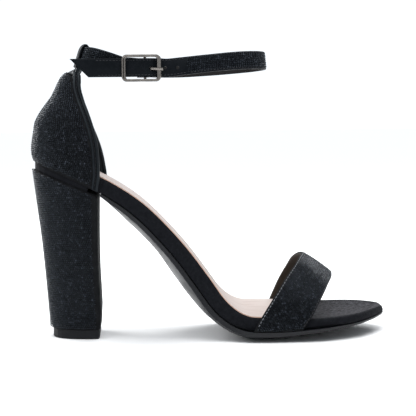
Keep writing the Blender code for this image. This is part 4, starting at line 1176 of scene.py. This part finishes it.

# %% [markdown]
# ## The wrapped footbed
# The board is wrapped in black cloth that turns over its upper edge. In front of the vamp strap the same
# footbed shows its brushed top, which is lighter and speckled. Creases are laid from a short table: each is
# a shallow trough between two points, so they can be moved one by one.

# %% Creases from a table
def trough(creases, x, y):
    """Depth of the creases at a place, in metres.

    A row runs from (x0, y0) to (x1, y1), in millimetres, and bows to one side by bend in the middle. The
    cloth rises a little along both sides of the trough.
    """
    depth = 0.0
    for x0, y0, x1, y1, bend, width, deep in zip(*creases.values()):
        dx, dy = x1 - x0, y1 - y0
        length = math.hypot(dx, dy)
        ahead = ((1000 * x - x0) * dx + (1000 * y - y0) * dy) / length
        aside = ((1000 * y - y0) * dx - (1000 * x - x0) * dy) / length
        t = min(max(ahead / length, 0.0), 1.0)
        away = math.hypot(ahead - t * length, aside - bend * math.sin(math.pi * t)) / width
        lip = 0.45 * math.exp(-((away - 1.7) ** 2))
        depth += deep * (math.exp(-away * away) - lip) * math.sin(math.pi * (0.05 + 0.9 * t))
    return depth / 1000


TOE_CREASES = table(
    "x0 y0 x1 y1 bend width depth",
    (142, -30, 156, -14, 1.0, 2.6, 0.16),
    (146, 6, 166, 12, -1.0, 3.0, 0.14),
    (150, -20, 168, -12, 0.8, 2.2, 0.10),
    (152, 22, 168, 16, -1.2, 2.8, 0.15),
    (160, -4, 176, 6, 1.0, 2.4, 0.10),
)
print("toe creases:", len(TOE_CREASES["x0"]))


# %% The wrapped footbed
TOE_STRETCH = (0.118, 0.150)    # the edge grows rounder and the creases set in over this stretch
TOE_ROUNDING = 0.0011           # how much rounder the upper edge gets
BRUSHED_STRETCH = (0.114, 0.120)
BRUSHED_FROM_EDGE = (5, 15)     # points in from the side, over which the brushed cloth fades in


def bed_ring(x):
    lateral, medial = half_widths(x)
    width, high = lateral + medial, bed_height(x)
    toe = eased(*TOE_STRETCH, x)
    top = min(BED_TOP_RADIUS + TOE_ROUNDING * toe, 0.3 * width, 0.42 * high)
    foot = min(BED_FOOT_RADIUS, 0.1 * width)
    side = [(0.0 + foot, 0.0), (0.3 * foot, 0.3 * foot), (0.0, foot), (-0.00012, high * 0.45)]
    turns = np.linspace(0, math.pi / 2, 6)
    side += [(top * (1 - math.cos(a)), high - top * (1 - math.sin(a))) for a in turns]
    left = [(-lateral + a, b) for a, b in side]
    rightward = [(medial - a, b) for a, b in side[::-1]]
    middle = []
    for share in np.linspace(0, 1, 27)[1:-1]:
        y = -lateral + top + (width - 2 * top) * share
        sunk = dish(x, y) * min(1.0, 4 * share, 4 * (1 - share)) ** 0.5
        middle.append((y, high - sunk - toe * trough(TOE_CREASES, x, y)))
    return [bed_point(x, y, h) for y, h in left + middle + rightward]


stations = seat_stations(5, 14) + list(np.arange(SEAT_FRONT_X, 0.120, 0.0031))
stations += toe_stations(0.1215, 34, 0.9995)
bed = loft("footbed_wrap", [bed_ring(x) for x in stations], [bed_cloth])
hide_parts("footbed")
ring_count = len(bed_ring(0.1))
brush = bed.data.attributes.new("brushed", "FLOAT", "POINT")
for k, x in enumerate(stations):
    for i in range(ring_count):
        fade = eased(*BRUSHED_FROM_EDGE, min(i, ring_count - 1 - i))
        brush.data[k * ring_count + i].value = eased(*BRUSHED_STRETCH, x) * fade
print("footbed faces:", len(bed.data.polygons))

# %% [markdown]
# ## The sock lining
# A thin pink leather is glued over the footbed. It never lies quite flat: near the ball it gathers in fine
# creases that fan out from the strap, and there are longer soft ones down the arch.

# %% The sock lining
SOCK_CREASES = table(
    "x0 y0 x1 y1 bend width depth",
    (92, -31, 110, -34, 1.6, 1.1, 0.34),
    (88, -24, 112, -29, 2.2, 1.2, 0.40),
    (97, -17, 114, -23, 1.4, 1.0, 0.32),
    (90, -13, 105, -16, -1.2, 1.3, 0.26),
    (101, -8, 120, -13, 1.2, 1.1, 0.28),
    (94, -2, 110, -3, -1.5, 1.4, 0.22),
    (99, 8, 118, 11, 1.6, 1.2, 0.26),
    (91, 15, 108, 20, -1.8, 1.3, 0.28),
    (98, 24, 114, 30, 1.5, 1.2, 0.30),
    (66, -15, 84, -20, 1.5, 1.8, 0.14),
    (52, 6, 78, 9, -2.0, 2.0, 0.14),
)
SOCK_POINTS = 81            # points across the sock
CREASED_FROM_X = 0.078      # from here the sock needs a finer mesh
FULLY_SHADED_CREASE = 0.0006     # a crease this deep takes the full painted shade
SOCK_EDGE_RISE = (0.35, 0.8, 1.0)   # shares of the thickness at the first points in from the edge
sock_stations = seat_stations(22, 10) + list(np.arange(SEAT_FRONT_X, CREASED_FROM_X, 0.0018))
sock_stations += list(np.arange(CREASED_FROM_X, SOCK_END_X, 0.0008)) + [SOCK_END_X]
across_shares = (1 - np.cos(np.linspace(0, math.pi, SOCK_POINTS))) / 2
rings, crease_shade_marks = [], []
for x in sock_stations:
    lateral, medial = (reach - SOCK_INSET for reach in half_widths(x))
    across = [-lateral + (lateral + medial) * share for share in across_shares]
    floor_h = bed_height(x) + GAP
    under = [bed_point(x, y, floor_h - dish(x, y)) for y in across[1:-1:4]]
    over, shade_marks = [], []
    for k, y in enumerate(across[::-1]):
        edge = min(k, SOCK_POINTS - 1 - k)
        rise = SOCK_THICKNESS * SOCK_EDGE_RISE[min(edge, 2)]
        sunk = trough(SOCK_CREASES, x, y) if edge > 2 else 0.0
        over.append(bed_point(x, y, floor_h + rise - dish(x, y) - sunk))
        # painted shade: each point's crease depth, as a share of the depth that is fully shaded
        shade_marks.append(min(max(sunk / FULLY_SHADED_CREASE, 0.0), 1.0))
    rings.append(under + over)
    crease_shade_marks += [0.0] * len(under) + shade_marks
under_count = len(under)
sock = loft(
    "sock_lining", rings, [sock_leather, sock_edge], sharp=60,
    choose=lambda row, i: int(under_count - 1 <= i <= under_count or i >= under_count + SOCK_POINTS - 2),
)
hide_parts("insole")
# the crease depths go on the mesh as the painted shade that the sock's finish reads
sock.data.attributes.new("crease_shade", "FLOAT", "POINT").data.foreach_set("value", crease_shade_marks)
print("sock rings:", len(rings))

# %% [markdown]
# ## The vamp strap
# One band of stone cloth crosses the toes, lined with thin brown-black leather. A real band is folded over
# at both edges and stitched, so its edges are round. The wall is therefore thinner at the edge rows than
# inside.

# %% The vamp strap's cloth and lining
edges = [0.0, 0.012, 0.035, 0.07]
across_shares = edges + list(np.linspace(0.12, 0.88, 12)) + [1 - e for e in edges[::-1]]
last = len(across_shares) - 1
FOLD_DEPTHS = (0.00055, 0.00022, 0.00006, 0.0)  # both faces sink this much at the edge rows


def fold(r):
    return FOLD_DEPTHS[min(r, last - r, 3)]


grid = [[(across, around) for around in np.linspace(0, 1, 97)] for across in across_shares]
vamp = wall(
    "vamp_cloth", vamp_surface, grid, 0.0, lambda r, c: -fold(r), lambda r, c: WALL - fold(r),
    [stone_ground, lining_leather],
)
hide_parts("vamp_strap")
print("vamp faces:", len(vamp.data.polygons))

# %% [markdown]
# ## The heel counter and its binding
# The counter is a curved panel of stone cloth. A leather binding runs round its collar edge: a strip folded
# over and sewn down, so it shows two soft ridges with the seam sunk between them. The ridges come from a
# short table of heights across the strip.

# %% The counter panel
ups = [0.0, 0.02, 0.05] + list(np.linspace(0.08, 0.88, 28)) + [COUNTER_TOP]
grid = []
for up_share in ups:
    edge = girth_share(up_share, BINDING_WIDTH * 0.8)
    drop = COUNTER_TOP_DROP if up_share == COUNTER_TOP else 0.0
    grid.append([(up_share - drop * share**2, edge * share) for share in np.linspace(-1, 1, 49)])
counter = wall(
    "counter_cloth", counter_point, grid, -1.0, lambda r, c: 0.0, lambda r, c: WALL,
    [stone_ground, lining_leather],
)
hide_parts("heel_counter")
print("counter faces:", len(counter.data.polygons))

# %% The collar binding
RIDGES = table(
    "share height",  # from the collar edge to the counter; heights in the binding's proud height
    (0.00, -1.6), (0.05, 0.2), (0.18, 1.9), (0.34, 1.7), (0.45, -1.4),
    (0.52, -1.4), (0.63, 1.8), (0.84, 2.0), (0.95, 0.4), (1.00, -1.2),
)
ups = [0.0, 0.03] + list(np.linspace(0.06, 0.88, 30)) + [0.905]
neck_start = len(ups)
ups += [0.912, 0.92, 0.93, 0.94, 0.95, 0.96, 0.975, 0.99, 1.0]
band = len(RIDGES["share"])
grid = []
for up_share in ups:
    edge = girth_share(up_share, BINDING_WIDTH)
    half = [edge * k / 6 for k in range(6)] + [edge + (1 - edge) * (1 - s) for s in RIDGES["share"][::-1]]
    grid.append([(up_share, share) for share in [-share for share in half[:0:-1]] + half])
columns = len(grid[0])


def ridge(r, c):
    side = min(c, columns - 1 - c)
    if side < band:
        return BINDING_PROUD * RIDGES["height"][side]
    return BINDING_PROUD


binding = wall(
    "collar_binding_leather", counter_point, grid, -1.0, ridge, lambda r, c: WALL + ridge(r, c) * 0.5,
    [binding_leather], keep=lambda r, c: r >= neck_start or min(c, columns - 2 - c) < band - 1,
)
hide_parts("collar_binding")
for side_name, sign in (("lateral", -1), ("medial", 1)):
    line, normals = [], []
    for up_share in np.linspace(0.02, 0.90, 60):
        edge = girth_share(up_share, BINDING_WIDTH)
        share = sign * (edge + (1 - edge) * 0.5)
        normal = square_to(counter_point, up_share, share)
        line.append(counter_point(up_share, share) + normal * 0.00008)
        normals.append(normal)
    stitches(f"collar_stitches_{side_name}", line, normals, dark_thread)

# %% [markdown]
# ## The loop at the back
# A short tab is folded over the ankle strap and sewn to the counter's neck. Its section is a folded band,
# and the loft carries it along the strap's own curve, so it sits square on the strap all the way.

# %% The loop
inner, outer = LOOP_ROOM / 2, LOOP_ROOM / 2 + LOOP_WALL
inner_top = STRAP_WIDTH / 2 + GAP
shoulder = inner_top - LOOP_SHOULDER
foot = -(STRAP_WIDTH / 2 + CURVED_GAP + LOOP_OVERLAP)
section = [(outer - 0.0003, foot), (outer, foot + 0.0004)]
outer_rise, inner_rise = LOOP_SHOULDER + LOOP_WALL + LOOP_CROWN, LOOP_SHOULDER / 2 + LOOP_CROWN
for i in range(17):
    angle = math.pi * i / 16
    section.append((outer * math.cos(angle), shoulder + outer_rise * math.sin(angle)))
section += [(-outer, foot + 0.0004), (-outer + 0.0003, foot), (-inner, foot)]
for i in range(9):
    angle = math.pi * (1 - i / 8)
    section.append((inner * math.cos(angle), inner_top - LOOP_SHOULDER / 2 + inner_rise * math.sin(angle)))
section += [(inner, foot)]
rings = []
for share in (-1.0, -0.985, -0.95) + tuple(np.linspace(-0.9, 0.9, 19)) + (0.95, 0.985, 1.0):
    point, outward, upward = strap_frame(RING_BACK + share * LOOP_HALF_SPAN)
    thin = 0.00025 * max(0.0, (abs(share) - 0.94) / 0.06)
    ring = []
    for s, u in section:
        if abs(s) > inner + 1e-5:
            s -= math.copysign(thin, s)
        if u > inner_top + 0.0006:
            u -= thin
        ring.append(point + outward * s + upward * u)
    rings.append(ring)
loop = loft("strap_loop_leather", rings, [strap_leather], sharp=50)
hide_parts("strap_loop")
for edge_name, share_at in (("lateral", -0.86), ("medial", 0.86)):
    line, normals = [], []
    point, outward, upward = strap_frame(RING_BACK + share_at * LOOP_HALF_SPAN)
    for u in np.linspace(foot + 0.0006, shoulder, 12):
        line.append(point + outward * (outer + 0.00005) + upward * u)
        normals.append(outward)
    stitches(f"loop_stitches_{edge_name}", line, normals, dark_thread)

# %% [markdown]
# ## The ankle strap
# The strap is one strip. Its long end carries stones round the ankle and is plain where it passes through
# the buckle, with punched holes. The strip is lofted along the route that its solid follows. Booleans then
# cut the holes, and their result replaces the mesh, so no cutter stays behind.

# %% The strip
line = smooth_route(strap_route(), 0.0016)
w, t, edge = STRAP_WIDTH / 2, STRAP_WALL / 2, STRAP_EDGE
bevel = 0.3 * edge
section = [(t, -w + edge), (t, 0.0), (t, w - edge), (t - bevel, w - bevel), (t - edge, w), (-t + edge, w)]
section += [(-t + bevel, w - bevel), (-t, w - edge), (-t, 0.0), (-t, -w + edge), (-t + bevel, -w + bevel)]
section += [(-t + edge, -w), (t - edge, -w), (t - bevel, -w + bevel)]
frames = []
for i, (point, lean) in enumerate(line):
    along = (line[min(i + 1, len(line) - 1)][0] - line[max(i - 1, 0)][0]).normalized()
    inward = along.cross(Vector((0, 0, 1))).normalized()
    upward = Vector((0, 0, math.cos(lean))) + inward * math.sin(lean)
    outward = upward.cross(along).normalized()
    frames.append((point, outward, along.cross(outward).normalized()))
rings = [[p + o * s + q * u for s, u in section] for p, o, q in frames]
end = line[-1][0]
rings.append([Vector((TAIL_TIP_X + (w - u) * TAIL_CUT, end.y - s, end.z + u)) for s, u in section])
strap = loft(
    "ankle_strap_strip", rings, [strap_leather, strap_lining],
    choose=lambda row, i: int(7 <= i <= 8),
)
print("strap rings:", len(rings))

# %% Punched holes and the slot for the buckle's prong
PLAIN_FROM_X = 0.0655       # the long end is plain from here back to its tip
PRONG_HOLE_X = 0.0467       # middle of the hole that the prong goes through
HOLE_PITCH = 0.0070
PUNCH_RADIUS = 0.0009
PUNCH_FROM_Y, PUNCH_TO_Y = -0.030, -0.016


def cut(piece, cutters):
    for cutter in cutters:
        step = piece.modifiers.new(cutter.name, "BOOLEAN")
        step.object, step.operation, step.solver = cutter, "DIFFERENCE", "EXACT"
    data = bpy.data.meshes.new_from_object(piece.evaluated_get(bpy.context.evaluated_depsgraph_get()))
    piece.modifiers.clear()
    piece.data = data
    for cutter in cutters:
        bpy.data.objects.remove(cutter)
    data.set_sharp_from_angle(angle=math.radians(45))


def cutter(name, body, matrix):
    data = bpy.data.meshes.new(name)
    body.to_mesh(data)
    body.free()
    made = bpy.data.objects.new(name, data)
    made.matrix_world = matrix
    bpy.context.scene.collection.objects.link(made)
    return made


def drum(name, radius, start, end_point):
    body = bmesh.new()
    start, end_point = Vector(start), Vector(end_point)
    length = (end_point - start).length
    bmesh.ops.create_cone(body, cap_ends=True, segments=20, radius1=radius, radius2=radius, depth=length)
    turned = (end_point - start).to_track_quat("Z", "Y").to_matrix().to_4x4()
    return cutter(name, body, Matrix.Translation((start + end_point) / 2) @ turned)


cutters = []
for k in (1, 2):
    x = PRONG_HOLE_X + HOLE_PITCH * k
    cutters.append(drum(f"punch_{k}", PUNCH_RADIUS, (x, PUNCH_FROM_Y, STRAP_Z), (x, PUNCH_TO_Y, STRAP_Z)))
route = prong_route()
start, end_point = route[-6], route[-4]
reach = (end_point - start).normalized() * PRONG_HOLE_RUN / 2
middle = (start + end_point) / 2
cutters.append(drum("prong_hole", PRONG_HOLE_RADIUS, middle - reach, middle + reach))
bar, radius = bar_place(), fold_radius() + STRAP_WALL / 2
behind = BUCKLE_BAR_RADIUS + 2 * PRONG_RADIUS + 2 * GAP
body = bmesh.new()
bmesh.ops.create_cube(body, size=1.0)
size = (behind + radius + GAP, 2 * (radius + GAP), 2 * (PRONG_RADIUS + 2 * GAP))
place = Matrix.Translation((bar.x + (radius + GAP - behind) / 2, bar.y, bar.z))
cutters.append(cutter("fold_slot", body, place @ Matrix.Diagonal((*size, 1))))
bpy.context.view_layer.update()
cut(strap, cutters)
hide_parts("ankle_strap")
print("strap faces:", len(strap.data.polygons))

# %% Stitches along the plain end
tail = [f for f in frames if f[0].x < PLAIN_FROM_X and f[0].y < -0.0195 and f[0].z < STRAP_Z + 0.0012]
tail = tail[[k for k, f in enumerate(tail) if f[0].x > 0.060][-1] - 3:]
outwards = [o for p, o, q in tail]
for edge_name, u in (("lower", -w + 0.0011), ("upper", w - 0.0011)):
    stitch_line = [p + o * (t + 0.00004) + q * u for p, o, q in tail]
    stitches(f"tail_stitches_{edge_name}", stitch_line, outwards, dark_thread, FINE_THREAD)

# %% [markdown]
# ## The buckle
# The frame is a rounded rectangle of cast metal with soft edges, and its ankle-side bar has a groove along
# it. Sweeping one profile between an outer and an inner outline lets the bar be wider at the ends than
# along the rails, and lets the groove fade out at the corners.

# %% The frame
def corner_outline(length, height, radius, steps=8, sides=6):
    points = []
    for corner, (sx, sz) in enumerate(((1, 1), (-1, 1), (-1, -1), (1, -1))):
        arc = []
        for i in range(steps + 1):
            angle = math.pi / 2 * (corner + i / steps)
            x = sx * (length / 2 - radius) + radius * math.cos(angle)
            z = sz * (height / 2 - radius) + radius * math.sin(angle)
            arc.append((x, z))
        points.append(arc)
    whole = []
    for arc, following in zip(points, points[1:] + points[:1]):
        whole += arc
        (x0, z0), (x1, z1) = arc[-1], following[0]
        whole += [(x0 + (x1 - x0) * k / sides, z0 + (z1 - z0) * k / sides) for k in range(1, sides)]
    return whole


outer_line = corner_outline(BUCKLE_LENGTH, BUCKLE_HEIGHT, BUCKLE_CORNER)
inner_line = corner_outline(
    BUCKLE_LENGTH - 2 * BUCKLE_END_BAR, BUCKLE_HEIGHT - 2 * BUCKLE_RAIL, BUCKLE_CORNER / 2.5
)
deep = BUCKLE_DEPTH / 2
GROOVE = 0.00055
ankle_side = -BUCKLE_LENGTH / 2 + BUCKLE_END_BAR    # inner edge of the grooved bar
profile = [(0.0, 0.0), (0.03, 0.6), (0.12, 0.9), (0.28, 1.0), (0.42, 0.96)]
profile += [(0.50, 0.92), (0.58, 0.96), (0.72, 1.0), (0.88, 0.9), (0.97, 0.6)]
profile += [(1.0, 0.0), (0.97, -0.6), (0.85, -0.95), (0.5, -1.0), (0.15, -0.95), (0.03, -0.6)]
rings = []
for (ox, oz), (ix, iz) in zip(outer_line, inner_line):
    grooved = eased(ankle_side + 0.0016, ankle_side - 0.0006, ox)
    grooved *= eased(BUCKLE_HEIGHT / 2, BUCKLE_HEIGHT / 2 - 0.0026, abs(oz))
    ring = []
    for q, d in profile:
        sunk = GROOVE * grooved * max(0.0, 1 - abs(q - 0.5) / 0.13) if d > 0.9 else 0.0
        ring.append(
            Vector((BUCKLE_X + ox + (ix - ox) * q, frame_y() - deep * d + sunk, STRAP_Z + oz + (iz - oz) * q))
        )
    rings.append(ring)
buckle = loft("buckle_frame_metal", rings, [pewter], sharp=70, closed=True)

# %% The centre bar
def tube(name, points, radius, materials, count=14):
    rings = []
    for i, point in enumerate(points):
        along = (points[min(i + 1, len(points) - 1)] - points[max(i - 1, 0)]).normalized()
        side = along.cross(Vector((1, 0, 0))).normalized()
        other = along.cross(side)
        turns = np.arange(count) * 2 * math.pi / count
        rings.append([point + side * radius * math.cos(a) + other * radius * math.sin(a) for a in turns])
    return loft(name, rings, materials, sharp=50)


bar, rail = bar_place(), BUCKLE_HEIGHT / 2 - BUCKLE_RAIL / 2
reach = STRAP_WIDTH / 2 + GAP + BUCKLE_BAR_RADIUS
half = [(frame_y() + 0.0002, rail), (bar.y - BUCKLE_BAR_BEND, rail), (bar.y - 2 * GAP, rail - GAP)]
half += [(bar.y - GAP, (rail + reach) / 2), (bar.y, reach)]
points = [Vector((bar.x, y, STRAP_Z + z)) for y, z in half]
points += [Vector((bar.x, bar.y, STRAP_Z + z)) for z in (0.5 * reach, 0.0, -0.5 * reach)]
points += [Vector((bar.x, y, STRAP_Z - z)) for y, z in half[::-1]]
tube("buckle_centre_bar", points, BUCKLE_BAR_RADIUS, [pewter])
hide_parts("buckle_frame")
print("buckle frame rings:", len(rings))

# %% [markdown]
# ## The stones
# Stone cloth is a net of small faceted stones in a close, staggered lattice. Over ten thousand of them are
# laid, so they are arrays joined into one mesh a piece. A surface is first sampled on a fine grid. Rows
# then follow one edge of the cloth at an even distance, and stones are spaced evenly along each row, every
# second row shifted by half a step. That is how the real cloth is cut and laid, and it keeps the lattice
# even on a tapering heel. Each stone is turned and tipped a little, which makes some of them flash.

# %% One stone
STONE_PITCH = 0.00128
STONE_ROW = 0.866 * STONE_PITCH     # rows of a staggered lattice lie closer than the stones in a row
STONE_RADIUS = 0.00056
STONE_SIDES = 8
STONE_TIP = 0.075                   # how far the stones tip, as a slope
STONE_SIZES = (0.93, 1.03)
stone_shape = []
for size, high in ((0.97, 0.22), (0.52, 0.72)):
    turns = [2 * math.pi * k / STONE_SIDES for k in range(STONE_SIDES)]
    stone_shape += [(size * math.cos(a), size * math.sin(a), high) for a in turns]
stone_shape = np.array(stone_shape)
stone_faces = []
for k in range(STONE_SIDES):
    n = (k + 1) % STONE_SIDES
    stone_faces.append((k, n, STONE_SIDES + n, STONE_SIDES + k))
stone_faces.append(tuple(range(STONE_SIDES, 2 * STONE_SIDES)))
print("a stone has", len(stone_shape), "points and", len(stone_faces), "facets")


# %% A staggered lattice over a sampled surface
def sampled(surface, us, vs):
    return np.array([[surface(u, v) for v in vs] for u in us])


def lattice(grid, outward_sign, first=0.0, last=0.0, side=0.0):
    """Places for stones: rows run along the grid's second axis, at even distances down its first one."""
    columns = grid.shape[1]
    steps_down = np.linalg.norm(np.diff(grid, axis=0), axis=2)
    down = np.concatenate([np.zeros((1, columns)), np.cumsum(steps_down, axis=0)])
    normal = np.cross(np.gradient(grid, axis=0), np.gradient(grid, axis=1)) * outward_sign
    normal /= np.linalg.norm(normal, axis=2)[..., None] + 1e-15
    spots, normals, alongs = [], [], []
    rows = int((down[-1].max() - first) / STONE_ROW) + 1
    for k in range(rows):
        d = first + k * STONE_ROW
        inside = d <= down[-1] - last
        row, face = (
            np.array([[np.interp(d, down[:, a], values[:, a, i]) for i in range(3)] for a in range(columns)])
            for values in (grid, normal)
        )
        runs = runs_of(row)
        runs = runs - runs[columns // 2]
        first_step, last_step = math.ceil(runs[0] / STONE_PITCH) - 1, math.floor(runs[-1] / STONE_PITCH) + 2
        at = (np.arange(first_step, last_step) + 0.5 * (k % 2)) * STONE_PITCH
        at = at[(at >= runs[0] + side) & (at <= runs[-1] - side)]
        open_share = np.interp(at, runs, inside.astype(float))
        at = at[open_share > 0.98]
        if not len(at):
            continue
        spot = np.stack([np.interp(at, runs, row[:, i]) for i in range(3)], 1)
        ahead = np.stack([np.interp(at + 0.0002, runs, row[:, i]) for i in range(3)], 1)
        behind = np.stack([np.interp(at - 0.0002, runs, row[:, i]) for i in range(3)], 1)
        spots.append(spot)
        alongs.append(ahead - behind)
        normals.append(np.stack([np.interp(at, runs, face[:, i]) for i in range(3)], 1))
    return np.concatenate(spots), np.concatenate(normals), np.concatenate(alongs)


def unit(v):
    return v / (np.linalg.norm(v, axis=1)[:, None] + 1e-15)


def lay_stones(name, places, seed):
    """Lays a stone at each place, a little turned, tipped and sized by chance."""
    spots, normals, alongs = places
    chance = np.random.default_rng(seed)
    count = len(spots)
    normals = unit(normals)
    normals = unit(normals + chance.normal(0, STONE_TIP, (count, 3)))
    x = unit(alongs - normals * (alongs * normals).sum(1)[:, None])
    y = np.cross(normals, x)
    turn = chance.uniform(0, 2 * math.pi / STONE_SIDES, count)[:, None]
    size = STONE_RADIUS * chance.uniform(*STONE_SIZES, count)[:, None]
    x, y = x * np.cos(turn) + y * np.sin(turn), y * np.cos(turn) - x * np.sin(turn)
    axes = np.stack([x * size, y * size, normals * size], 1)
    spots = spots + chance.normal(0, 0.00003, (count, 3))
    return scatter(name, stone_shape, stone_faces, (spots, axes), stone_glass)


# %% Stones on the heel block, row by row from its foot
def heel_plan(length, width, front_x, count=96):
    """The rounded part of the heel's plan, from the lateral front corner to the medial one."""
    half, straight = width / 2, front_x - HEEL_CORNER
    points = []
    for i in range(count + 1):
        angle = math.pi * i / count
        share_x, share_y = math.sin(angle), -math.cos(angle)
        x = straight - (length - HEEL_CORNER) * abs(share_x) ** (2 / HEEL_ROUNDNESS)
        points.append((x, half * math.copysign(abs(share_y) ** (2 / HEEL_ROUNDNESS), share_y)))
    return points


def heel_top_z(x):
    """The heel's flat, sloping top, under the wedge."""
    back_x = HEEL_FRONT_X - HEEL_TOP_LENGTH
    back = joint_z(back_x) - WEDGE_BACK - 2 * GAP
    front = joint_z(HEEL_FRONT_X) - WEDGE_FRONT - 2 * GAP
    return back + (front - back) * (x - back_x) / HEEL_TOP_LENGTH


heel_grid = []
heel_foot = TIP_HEIGHT + GAP
for up_share in np.linspace(0, 1, 31):
    length, width, setback = (read(HEEL, c, up_share, key="up") for c in ("length", "width", "setback"))
    front_x = HEEL_FRONT_X - setback * HEEL_TOP_LENGTH
    plan = heel_plan(length * HEEL_TOP_LENGTH, width * HEEL_TOP_WIDTH, front_x)
    heel_grid.append([(x, y, heel_foot + (heel_top_z(x) - heel_foot) * up_share) for x, y in plan])
heel_grid = np.array(heel_grid)
lay_stones("heel_stones", lattice(heel_grid, 1, first=0.0010, last=0.0006, side=0.0016), 11)

# %% Stones on the counter, row by row from its top
us, vs = np.linspace(0.895, 0.0, 46), np.linspace(-1, 1, 121)
edges_at = [girth_share(u, BINDING_WIDTH + STONE_RADIUS + 0.0001) for u in us]
counter_grid = []
for u, edge in zip(us, edges_at):
    drop = COUNTER_TOP_DROP * eased(0.80, 0.89, u)
    counter_grid.append([counter_point(u - drop * v**2, v * edge) for v in vs])
counter_grid = np.array(counter_grid)
lay_stones("counter_stones", lattice(counter_grid, -1, first=0.0004, last=0.0010), 12)

# %% Stones on the vamp strap, row by row from its rear edge
vamp_grid = sampled(vamp_surface, np.linspace(0, 1, 31), np.linspace(0.0, 1.0, 161))
lay_stones("vamp_stones", lattice(vamp_grid, 1, first=0.0021, last=0.0012, side=0.0006), 13)
for edge_name, across, thread in (("rear", 0.045, grey_thread), ("front", 0.965, dark_thread)):
    arounds = np.linspace(0.015, 0.985, 90)
    normals = [square_to(vamp_surface, across, around, 0.0) for around in arounds]
    if normals[len(normals) // 2].z < 0:
        normals = [-n for n in normals]
    line = [vamp_surface(across, around) + n * 0.00006 for around, n in zip(arounds, normals)]
    stitches(f"vamp_stitches_{edge_name}", line, normals, thread, 0.00042, 0.0021, 0.0015)

# %% Stones on the ankle strap, from behind the buckle round to the plain end
UPPER_MARGIN, LOWER_MARGIN = 0.0009, 0.0017    # bare cloth along the strap's edges
buckle_back_x = BUCKLE_X - BUCKLE_LENGTH / 2
ring_start = next(k for k, (p, o, q) in enumerate(frames) if k > 14 and p.x < buckle_back_x + 0.004)
second_half = range(len(frames) // 2, len(frames))
ring_end = next(k for k in second_half if frames[k][0].y < -0.012 and frames[k][0].x < PLAIN_FROM_X)
ring = frames[ring_start:ring_end]
heights = np.linspace(w - UPPER_MARGIN, -w + LOWER_MARGIN, 9)
strap_grid = np.array([[p + o * t + q * u for p, o, q in ring] for u in heights])
lay_stones("strap_stones", lattice(strap_grid, -1, side=0.0003), 14)
line = [p + o * (t + 0.00004) + q * (-w + 0.0009) for p, o, q in ring]
stitches("strap_stitches_lower", line, [o for p, o, q in ring], dark_thread, FINE_THREAD)

# %% [markdown]
# ## Sizes and the end
# The dressing may stand a little proud of the solids, but not more. The box round all shown pieces of
# the shoe is printed in millimetres.

# %% Print the visual box and finish
low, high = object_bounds()
print("visual box in mm", [round(1000 * v, 1) for v in (*low, *high)])
